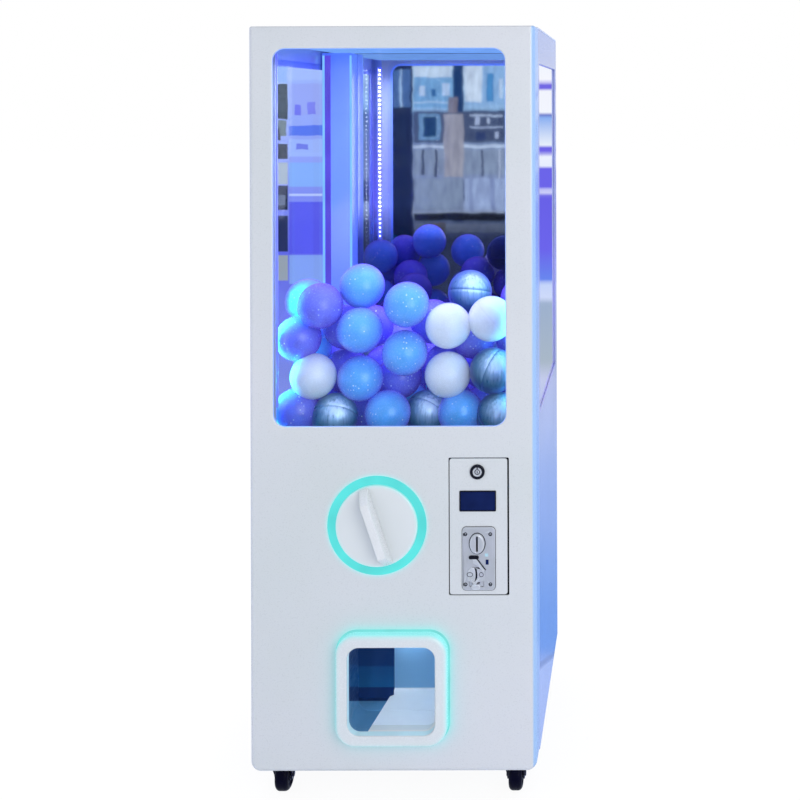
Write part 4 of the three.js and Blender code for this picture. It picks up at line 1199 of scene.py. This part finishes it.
def funnel_floor(x, y):
    """Height of the hopper's surface under a point."""
    cx, cy, radius = FUNNEL_HOLE
    outwards = np.maximum(0, np.hypot(x - cx, y - cy) - radius)
    return FUNNEL_FOOT + FUNNEL_SLOPE * outwards + FUNNEL_SHEET


def settle():
    """Packs the capsules: the ones against the front glass stay put, the rest fall and are pushed apart."""
    (_, glass_end), (_, glass), _ = span("inner_front_glass")
    mirror = span("back_mirror")[1][0]
    post_x, post_y = span("right_corner_post")[0][0], span("right_corner_post")[1][0]
    rng = np.random.default_rng(SEED)
    listed = sorted(FRONT_CAPSULES, key=lambda row: row[2] >= BURIED)
    held = sum(row[2] < BURIED for row in listed)
    seated = np.array([(x, glass + BALL_R + 1 + back, z) for x, z, back, _ in listed], float)
    free = np.column_stack([
        rng.uniform(-225, 225, FILL_COUNT),
        rng.uniform(-80, 240, FILL_COUNT),
        rng.uniform(760, 1100, FILL_COUNT),
    ])
    place = np.vstack([seated, free])
    for step in range(FALL_STEPS + REST_STEPS):
        if step < FALL_STEPS:
            place[len(seated):, 2] -= FALL
        gap = place[:, None, :] - place[None, :, :]
        distance = np.linalg.norm(gap, axis=2) + np.eye(len(place)) * 1e6
        overlap = np.clip(2 * BALL_R + 0.2 - distance, 0, None)
        push = (gap / distance[..., None] * overlap[..., None]).sum(1) * 0.4
        place[held:] += push[held:]
        x, y, z = place[held:, 0], place[held:, 1], place[held:, 2]
        limit = glass_end - BALL_R - 1
        np.clip(x, -limit, limit, out=x)
        np.clip(y, glass + BALL_R + 1, mirror - BALL_R - 1, out=y)
        deep_x = np.abs(x) - (post_x - BALL_R)
        deep_y = y - (post_y - BALL_R)
        corner = (deep_x > 0) & (deep_y > 0)
        by_x = corner & (deep_x < deep_y)
        by_y = corner & ~by_x
        x[by_x] -= np.sign(x[by_x]) * deep_x[by_x]
        y[by_y] -= deep_y[by_y]
        z[:] = np.maximum(z, funnel_floor(x, y) + BALL_R)
    kinds = [row[3] for row in listed]
    kinds += list(rng.choice(["violet", "blue", "pearl"], FILL_COUNT, p=[0.74, 0.16, 0.1]))
    turns = rng.uniform(-math.pi, math.pi, (len(place), 2))
    low = (place[:, 2] < CAPSULE_LEVEL) | (np.arange(len(place)) < len(seated))
    return place[low], [k for k, keep in zip(kinds, low) if keep], turns[low]


def capsule_profile(groove_depth, columns=14):
    """The ball's section with a small groove at the equator, as (radius, along) pairs."""
    groove = 0.025
    profile = [(0.4, -BALL_R)]
    for k in range(1, columns + 1):
        a = -math.pi / 2 + (math.pi / 2 - groove) * k / columns
        profile.append((BALL_R * math.cos(a), BALL_R * math.sin(a)))
    return mirrored([*profile, (BALL_R - groove_depth, -0.6)])


def capsules():
    place, kinds, turns = settle()
    materials = {
        "blue": capsule_shell("capsule_blue", (0.13, 0.44, 0.86), (0.21, 0.11, 0.72), 0.13, 1.3),
        "violet": capsule_shell("capsule_violet", (0.18, 0.2, 0.76), (0.17, 0.06, 0.55), 0.09, 1.3),
        "white": capsule_shell("capsule_white", (0.78, 0.8, 0.8), (0.52, 0.6, 0.84), 0.1, 4.0,
                               haze=0.04, glint_level=0.2),
        "pearl": pearl_shell("capsule_pearl"),
    }
    for kind, material in materials.items():
        profile = capsule_profile(0.6 if kind == "pearl" else 0.1)
        bm = bmesh.new()
        for spot, this, (spin, tilt) in zip(place, kinds, turns):
            if this != kind:
                continue
            before = len(bm.verts)
            lathe_solid(bm, profile, (0, 0, 0), "z", 40)
            bm.verts.ensure_lookup_table()
            ca, sa, cb, sb = math.cos(spin), math.sin(spin), math.cos(tilt), math.sin(tilt)
            for v in bm.verts[before:]:
                x, y, z = v.co
                y, z = y * cb - z * sb, y * sb + z * cb
                x, y = x * ca - y * sa, x * sa + y * ca
                v.co = (x + spot[0] * MM, y + spot[1] * MM, z + spot[2] * MM)
        stands_for = "capsule_pile" if kind == "violet" else None
        piece(f"capsules_{kind}", bm, "cabinet", material, stands_for, 60)


# ---------------- chamber fittings
LED_WALL = 260
LED_PITCH = 12.5


def led_strips():
    for side, sign in (("left", -1), ("right", 1)):
        (x0, x1), (y0, _), (z0, z1) = span(f"{side}_led_strip")
        bm = bmesh.new()
        block(bm, x0, x1, y0, y0 + 2.6, z0, z1, 0.5)
        wall_x = sorted((sign * LED_WALL + sign * 8, sign * LED_WALL + sign * 6.4))
        block(bm, wall_x[0], wall_x[1], y0, y0 + 8, z0, z1, 0.4)
        piece(f"{side}_led_tape", bm, "cabinet", M_LED_TAPE, f"{side}_led_strip")
        bm = bmesh.new()
        middle = (x0 + x1) / 2
        z = z0 + LED_PITCH / 2
        while z < z1:
            block(bm, middle - 2.2, middle + 2.2, y0 + 2.7, y0 + 4.2, z - 2.2, z + 2.2, 0.4, 2)
            z += LED_PITCH
        piece(f"{side}_led_dots", bm, "cabinet", M_LED)


def corner_posts():
    for side, sign in (("left", -1), ("right", 1)):
        (x0, x1), (y0, y1), (z0, z1) = span(f"{side}_corner_post")
        bm = bmesh.new()
        block(bm, x0, x1, y0 + 0.8, y1, z0, z1, 2.0, 4)
        piece(f"{side}_post_case", bm, "cabinet", M_POST, f"{side}_corner_post")
        wall_x, inner_x = (x0, x1) if sign < 0 else (x1, x0)
        strips = {
            "violet": (M_VIOLET, [(wall_x - sign * 7, wall_x - sign * 21)]),
            "lines": (M_CYAN_LINE, [(inner_x, inner_x + sign * 5),
                                    (wall_x - sign * 1, wall_x - sign * 6)]),
        }
        for name, (material, edges) in strips.items():
            bm = bmesh.new()
            for edge in edges:
                block(bm, *sorted(edge), y0, y0 + 1.4, z0 + 6, z1 - 6, 0.4)
            piece(f"{side}_post_{name}", bm, "cabinet", material)


# ---------------- carried-over CAD nodes


def round_edges(obj, width):
    """Rounds the sharp edges of a finished piece."""
    edges = obj.modifiers.new("edges", "BEVEL")
    edges.width = width * MM
    edges.segments = 3
    edges.angle_limit = math.radians(40)
    edges.use_clamp_overlap = True


def soften(name, material, rounded=True):
    """Gives a CAD node its finish and slightly rounded edges."""
    obj = frame["nodes"][name]
    obj.data.materials.clear()
    obj.data.materials.append(material)
    if rounded:
        obj.modifiers.new("join", "WELD").merge_threshold = 0.01 * MM
        round_edges(obj, 0.8)


def carried_over():
    finishes = [
        (M_STEEL, "base_frame upper_hinge_pin lower_hinge_pin carousel_shaft shaft_bracket"),
        (M_STEEL, "lower_bearing drive_shaft dial_shaft"), (M_SIDE, "left_side_panel right_side_panel"),
        (M_ROOF, "roof_panel"), (M_GALV, "back_panel carousel_deck power_supply rear_door"),
        (M_MIRROR, "back_mirror"), (M_CEILING, "ceiling_light"), (M_CIRCUIT, "control_board"),
        (M_NYLON, "hopper_funnel carousel agitator drive_pinion crown_gear dial_bush"),
        (M_BLACK, "drop_chute coin_box coin_acceptor_body"), (M_LINING, "exit_box"),
        (M_SILVER, "rear_lock_core"),
    ]
    for material, names in finishes:
        for name in names.split():
            soften(name, material)
    for material, place in ((M_CLEAR, "window inner_front"), (M_SIDE_PANE, "left_side right_side")):
        for name in place.split():
            soften(f"{name}_glass", material, False)


# ---------------- stage, lights and camera
# bands by height as (slope, red, green, blue), seen in gloss that faces the rear or the front
REAR_VIEW = [
    (-0.6, 0.42, 0.52, 0.88), (-0.48, 0.4, 0.52, 0.9), (-0.475, 0.16, 0.36, 0.86),
    (-0.32, 0.3, 0.44, 0.84), (-0.24, 0.55, 0.6, 0.84), (-0.225, 0.4, 0.48, 0.58),
    (-0.175, 0.34, 0.44, 0.62), (-0.17, 0.62, 0.7, 0.96), (-0.158, 0.55, 0.66, 0.96),
    (-0.154, 0.14, 0.24, 0.86), (-0.128, 0.15, 0.13, 0.84), (-0.082, 0.14, 0.12, 0.8),
    (-0.08, 0.6, 0.62, 0.95), (-0.077, 0.6, 0.62, 0.95), (-0.075, 0.15, 0.13, 0.82),
    (-0.058, 0.15, 0.13, 0.82), (-0.056, 0.8, 0.86, 1.0), (-0.047, 0.84, 0.88, 1.0),
    (-0.045, 0.16, 0.13, 0.8), (-0.04, 0.16, 0.13, 0.8), (-0.038, 0.8, 0.86, 0.97),
    (-0.014, 0.24, 0.42, 0.88), (-0.012, 0.16, 0.2, 0.6), (-0.011, 0.9, 0.92, 1.0),
    (0.01, 0.88, 0.9, 0.98), (0.011, 0.17, 0.14, 0.78), (0.015, 0.17, 0.14, 0.78),
    (0.017, 0.92, 0.93, 1.0), (0.034, 0.86, 0.9, 1.0), (0.06, 0.72, 0.76, 0.93),
]
FRONT_VIEW = [
    (-0.4, 0.16, 0.2, 0.34), (-0.14, 0.2, 0.24, 0.38), (-0.105, 0.14, 0.18, 0.3),
    (-0.098, 0.5, 0.55, 0.66), (-0.088, 0.46, 0.52, 0.64), (-0.085, 0.06, 0.08, 0.18),
    (-0.07, 0.1, 0.13, 0.24), (-0.066, 0.36, 0.42, 0.58), (-0.03, 0.26, 0.34, 0.5),
    (-0.01, 0.2, 0.3, 0.48), (-0.006, 0.5, 0.75, 0.95), (0.03, 0.7, 0.88, 1.0),
    (0.034, 0.12, 0.16, 0.5), (0.1, 0.3, 0.35, 0.6),
]
# lit displays in the mirror and through the side glass: (left, right, foot, top, red, green, blue) in slopes
SHOWROOM = [
    (-0.194, -0.15, -0.006, 0.028, 0.28, 0.55, 0.8), (-0.194, -0.16, 0.02, 0.03, 0.85, 0.95, 1.0),
    (-0.194, -0.151, -0.002, 0.0, 0.8, 0.92, 1.0), (-0.189, -0.183, 0.004, 0.014, 0.75, 0.88, 1.0),
    (-0.179, -0.174, 0.003, 0.011, 0.05, 0.18, 0.4), (-0.17, -0.162, 0.004, 0.016, 0.72, 0.86, 1.0),
    (-0.16, -0.15, -0.01, 0.034, 0.015, 0.06, 0.18), (-0.15, -0.114, -0.004, 0.032, 0.42, 0.66, 0.9),
    (-0.15, -0.134, -0.001, 0.031, 0.9, 0.97, 1.0), (-0.131, -0.124, -0.001, 0.024, 0.1, 0.35, 0.65),
    (-0.12, -0.116, 0.002, 0.02, 0.78, 0.9, 1.0), (-0.194, -0.114, -0.036, -0.008, 0.1, 0.13, 0.22),
    (-0.19, -0.17, -0.034, -0.01, 0.24, 0.42, 0.6), (-0.186, -0.174, -0.031, -0.013, 0.02, 0.07, 0.17),
    (-0.146, -0.116, -0.014, -0.011, 0.62, 0.7, 0.82),
    (-0.146, -0.116, -0.024, -0.021, 0.55, 0.62, 0.76),
    (-0.141, -0.136, -0.021, -0.013, 0.6, 0.66, 0.8), (-0.131, -0.127, -0.02, -0.014, 0.7, 0.76, 0.88),
    (-0.124, -0.12, -0.033, -0.026, 0.66, 0.72, 0.86), (-0.14, -0.131, -0.034, -0.026, 0.05, 0.08, 0.2),
    (-0.194, -0.114, -0.064, -0.041, 0.36, 0.42, 0.52),
    (-0.194, -0.112, -0.041, -0.037, 0.74, 0.82, 0.92),
    (-0.187, -0.184, -0.064, -0.041, 0.04, 0.05, 0.1),
    (-0.176, -0.173, -0.066, -0.041, 0.04, 0.05, 0.1), (-0.168, -0.15, -0.066, -0.01, 0.5, 0.46, 0.48),
    (-0.164, -0.155, -0.01, 0.004, 0.3, 0.26, 0.3), (-0.136, -0.133, -0.066, -0.041, 0.1, 0.12, 0.2),
    (-0.121, -0.118, -0.07, -0.041, 0.6, 0.64, 0.74), (-0.194, -0.15, -0.095, -0.066, 0.36, 0.42, 0.52),
    (-0.15, -0.112, -0.095, -0.066, 0.5, 0.58, 0.76), (-0.146, -0.142, -0.095, -0.066, 0.36, 0.42, 0.6),
    (-0.128, -0.123, -0.095, -0.066, 0.36, 0.42, 0.62),
    (-0.194, -0.112, -0.104, -0.096, 0.02, 0.025, 0.04),
    (-0.194, -0.112, -0.114, -0.105, 0.3, 0.34, 0.42), (-0.18, -0.166, -0.124, -0.105, 0.24, 0.2, 0.18),
    (-0.215, -0.194, -0.15, 0.034, 0.02, 0.035, 0.1), (-0.212, -0.196, -0.006, 0.028, 0.1, 0.2, 0.42),
    (-0.206, -0.203, -0.006, 0.028, 0.55, 0.75, 0.95),
]
SIDE_ROOM = [
    (-0.33, -0.302, -0.016, 0.016, 0.012, 0.03, 0.035), (-0.32, -0.306, -0.01, 0.006, 0.03, 0.05, 0.06),
    (-0.33, -0.302, 0.016, 0.036, 0.42, 0.6, 0.95), (-0.312, -0.303, -0.03, -0.016, 0.22, 0.26, 0.22),
    (-0.33, -0.302, -0.05, -0.036, 0.015, 0.02, 0.03), (-0.33, -0.302, -0.072, -0.052, 0.6, 0.62, 0.56),
    (-0.322, -0.308, -0.034, -0.022, 0.02, 0.02, 0.03),
    (-0.33, -0.302, -0.094, -0.072, 0.015, 0.022, 0.05),
    (-0.316, -0.304, -0.09, -0.08, 0.16, 0.18, 0.22), (-0.33, -0.302, -0.13, -0.098, 0.03, 0.04, 0.1),
    (-0.33, -0.302, -0.155, -0.132, 0.5, 0.5, 0.42), (-0.302, -0.27, -0.012, 0.016, 0.52, 0.56, 0.92),
    (-0.302, -0.27, 0.018, 0.032, 0.62, 0.72, 1.0), (-0.297, -0.29, -0.012, -0.002, 0.28, 0.26, 0.85),
    (-0.286, -0.278, -0.012, 0.0, 0.34, 0.32, 0.88), (-0.302, -0.27, -0.03, -0.02, 0.16, 0.26, 0.85),
    (-0.302, -0.27, -0.048, -0.032, 0.55, 0.66, 0.98),
    (-0.296, -0.284, -0.042, -0.036, 0.26, 0.28, 0.8), (-0.302, -0.27, -0.074, -0.052, 0.38, 0.6, 0.95),
    (-0.302, -0.272, -0.082, -0.079, 0.8, 0.84, 0.98), (-0.302, -0.27, -0.132, -0.086, 0.15, 0.14, 0.8),
    (-0.302, -0.27, -0.158, -0.132, 0.36, 0.5, 0.86),
]


def patchwork(base, across, along, panels):
    """Lays soft-edged rectangles over a base colour."""
    def within(value, low, high):
        return ((high - low) / 2 - abs(value - (low + high) / 2)).share(900.0)

    for left, right, foot, top, *colour in panels:
        base = blend(within(across, left, right) * within(along, foot, top), base, rgba(colour))
    return base


def room_beyond(sideways, slope):
    """The lit room as seen through the side glass."""
    base = bands(slope, [
        (-0.3, 0.4, 0.45, 0.75), (-0.13, 0.2, 0.2, 0.8), (-0.05, 0.45, 0.5, 0.92),
        (0.05, 0.6, 0.72, 1.0), (0.3, 0.7, 0.8, 1.0),
    ])
    return patchwork(base, sideways, slope, SIDE_ROOM)


def world():
    """White behind the object, soft blue-white light on it, and a lit showroom in its reflections."""
    made = bpy.data.worlds.new("studio")
    bpy.context.scene.world = made
    made.use_nodes = True
    tree = made.node_tree
    tree.nodes.clear()
    path = node(tree, "LightPath").outputs
    x, y, z = xyz(field(tree, "TexCoord", "Generated"))
    depth = abs(y).at_least(0.001)
    slope, sideways = z / depth, x / depth
    behind = y > 0.0
    plane = field(tree, "CombineXYZ", 0, {0: sideways, 1: slope})
    wobble = (noise(plane, 70.0, 4.0) - 0.5) * 0.004
    drawn = (sideways + wobble, slope + wobble)
    streak = ramp(noise(plane, 60.0, 3.0, (4, 1, 1)), (0.7, 0.7, 0.75, 1), (1.2, 1.2, 1.15, 1))
    showroom = patchwork(bands(slope, FRONT_VIEW), *drawn, SHOWROOM)
    ahead = blend(0.8, showroom, streak, blend_type="MULTIPLY")
    room = blend(behind, ahead, bands(slope, REAR_VIEW))
    near = (abs(sideways) < 0.5) * (abs(slope) < 0.62)
    mirrored = blend(near, (0.62, 0.68, 0.8, 1), room)
    # seen through glass, the room shows; seen directly, it is plain white
    glazed = Field(path["Transparent Depth"]) > 0.5
    backdrop = blend(glazed * behind, WHITE, room_beyond(*drawn))

    def sky(colour, strength=1.0):
        return field(tree, "Background", 0, {"Color": colour, "Strength": strength})

    lit = sky((0.9, 0.93, 1.0, 1), 0.62)
    first = field(tree, "MixShader", 0, {0: Field(path["Is Glossy Ray"]), 1: lit, 2: sky(mirrored)})
    shown = {0: Field(path["Is Camera Ray"]), 1: first, 2: sky(backdrop)}
    finish(made, node(tree, "MixShader", shown), "OutputWorld")


def floor_finish():
    """Near-white floor that keeps only a trace of the object's shadow."""
    material, tree, place = blank("floor_pale")
    tone = ramp(noise(place, 40.0), (0.84, 0.85, 0.87, 1), (0.87, 0.88, 0.9, 1))
    bare = field(tree, "BsdfPrincipled", 0, {"Base Color": tone, "Roughness": 0.7})
    reach = field(tree, "VectorMath", "Value", {0: place}, operation="LENGTH")
    limits = {"Value": reach, "From Min": 0.2, "From Max": 0.9, "To Min": 0.9, "To Max": 1.0}
    fade = field(tree, "MapRange", "Result", limits, interpolation_type="SMOOTHSTEP")
    path = node(tree, "LightPath").outputs
    x, y, z = xyz(field(tree, "NewGeometry", "Incoming"))
    depth = y.at_most(-0.001)
    glazed = Field(path["Transparent Depth"]) > 0.5
    beyond = xyz(place)[1] > 0.5
    shown = blend(glazed * beyond, WHITE, room_beyond(x / depth, z / depth))
    white = field(tree, "Emission", 0, {"Color": shown, "Strength": 1.03})
    weight = fade * Field(path["Is Camera Ray"])
    return finish(material, node(tree, "MixShader", {0: weight, 1: bare, 2: white}))


def floor():
    bm = bmesh.new()
    bmesh.ops.create_grid(bm, x_segments=1, y_segments=1, size=30)
    plane = bpy.data.objects.new("studio_floor", to_mesh("studio_floor", bm))
    bpy.context.scene.collection.objects.link(plane)
    plane.data.materials.append(floor_finish())
    plane.visible_glossy = False


def area_light(name, place, target, size, power, colour, size_y=None):
    data = bpy.data.lights.new(name, "AREA")
    data.energy = power
    data.color = colour
    data.size = size
    if size_y:
        data.shape = "RECTANGLE"
        data.size_y = size_y
    obj = bpy.data.objects.new(name, data)
    obj.location = place
    direction = Vector(target) - Vector(place)
    obj.rotation_mode = "QUATERNION"
    obj.rotation_quaternion = direction.to_track_quat("-Z", "Y")
    obj.visible_camera = False
    obj.visible_glossy = False
    bpy.context.scene.collection.objects.link(obj)
    return obj


def lights():
    key = area_light("key", (2.1, -3.2, 1.9), (0.1, 0, 0.6), 2.6, 66, (1.0, 0.985, 0.96))
    key.visible_glossy = True
    area_light("fill", (-2.2, -2.8, 1.2), (0, 0, 0.7), 2.6, 18, (0.92, 0.95, 1.0))
    area_light("rear", (0.5, 3.5, 3.0), (0, 0, 0.9), 2.6, 40, (0.9, 0.95, 1.0))
    area_light("right_rim", (2.4, 0.75, 1.1), (0.29, -0.1, 0.85), 1.8, 22, (0.2, 0.42, 1.0))
    area_light("left_rim", (-2.4, 0.6, 1.1), (-0.29, -0.1, 0.85), 1.8, 20, (0.45, 0.45, 1.0))
    # inside the chamber
    area_light("ceiling_wash", (0, 0.04, 1.54), (0, 0.04, 0.8), 0.4, 3.0, (0.34, 0.24, 1.0), 0.34)
    area_light("window_wash", (0, -0.185, 1.52), (0, -0.1, 0.8), 0.42, 2.4, (0.85, 0.9, 1.0), 0.04)
    area_light("left_cyan", (-0.274, -0.16, 0.88), (0.1, -0.08, 0.85), 0.03, 1.5, (0.05, 0.95, 1.0), 0.34)
    area_light("right_cyan", (0.274, -0.16, 0.92), (-0.1, -0.08, 0.9), 0.03, 0.5, (0.1, 0.85, 1.0), 0.34)
    area_light("violet_left", (-0.27, 0.12, 1.22), (0.1, -0.05, 0.9), 0.12, 1.6, (0.46, 0.14, 1.0), 0.4)
    area_light("violet_right", (0.27, 0.08, 1.22), (-0.1, -0.05, 0.9), 0.12, 1.5, (0.42, 0.14, 1.0), 0.4)
    lamp = bpy.data.lights.new("exit_lamp", "POINT")
    lamp.energy = 0.25
    lamp.color = (0.86, 0.94, 1.0)
    lamp.shadow_soft_size = 0.006
    bulb = bpy.data.objects.new("exit_lamp", lamp)
    bulb.location = (-0.01, -0.15, 0.3)
    bpy.context.scene.collection.objects.link(bulb)


CAMERA_PLACE = (0.4978, FRONT * MM - 2.34, 1.43)
CAMERA_SHIFT = (-0.2972, -0.3742)
CAMERA_ROLL = 0.003
CAMERA_LENS = 52.1
TRIPOD_REACH = 0.02  # metres from the tripod within which the lens is shifted


def camera():
    """Looks straight at the front face from its right, with the lens shifted to frame the object.
    The shift fades out away from the tripod, so that a camera moved elsewhere looks straight ahead."""
    data = bpy.data.cameras.new("camera")
    data.lens = CAMERA_LENS
    data.sensor_width = 36
    obj = bpy.data.objects.new("camera", data)
    obj.rotation_euler = (math.radians(90), CAMERA_ROLL, 0)
    tripod = bpy.data.objects.new("tripod", None)
    for stood in (obj, tripod):
        stood.location = CAMERA_PLACE
        bpy.context.scene.collection.objects.link(stood)
    for channel, shift in zip(("shift_x", "shift_y"), CAMERA_SHIFT):
        curve = data.driver_add(channel)
        curve.extrapolation = "CONSTANT"
        for added in list(curve.modifiers):
            curve.modifiers.remove(added)
        curve.keyframe_points.clear()
        for distance, value in ((0.0, shift), (TRIPOD_REACH, 0.0)):
            curve.keyframe_points.insert(distance, value).interpolation = "LINEAR"
        curve.driver.type = "SUM"
        variable = curve.driver.variables.new()
        variable.type = "LOC_DIFF"
        variable.targets[0].id = obj
        variable.targets[1].id = tripod
    bpy.context.scene.camera = obj


def build():
    for make in (
        front_shell, window_trim, dial_ring, dial_plate, dial_bar, exit_bezel, exit_glow, exit_window,
        exit_curtain, coin_gap_shade, coin_door, display, coin_face, coin_moving_bits, lock,
    ):
        make()
    for end in ("front", "rear"):
        for side in ("left", "right"):
            caster(end, side)
    for make in (capsules, led_strips, corner_posts, carried_over, floor, world, lights, camera):
        make()
    bpy.context.scene.view_settings.view_transform = "Standard"
    bpy.context.scene.cycles.transparent_max_bounces = 32


build()
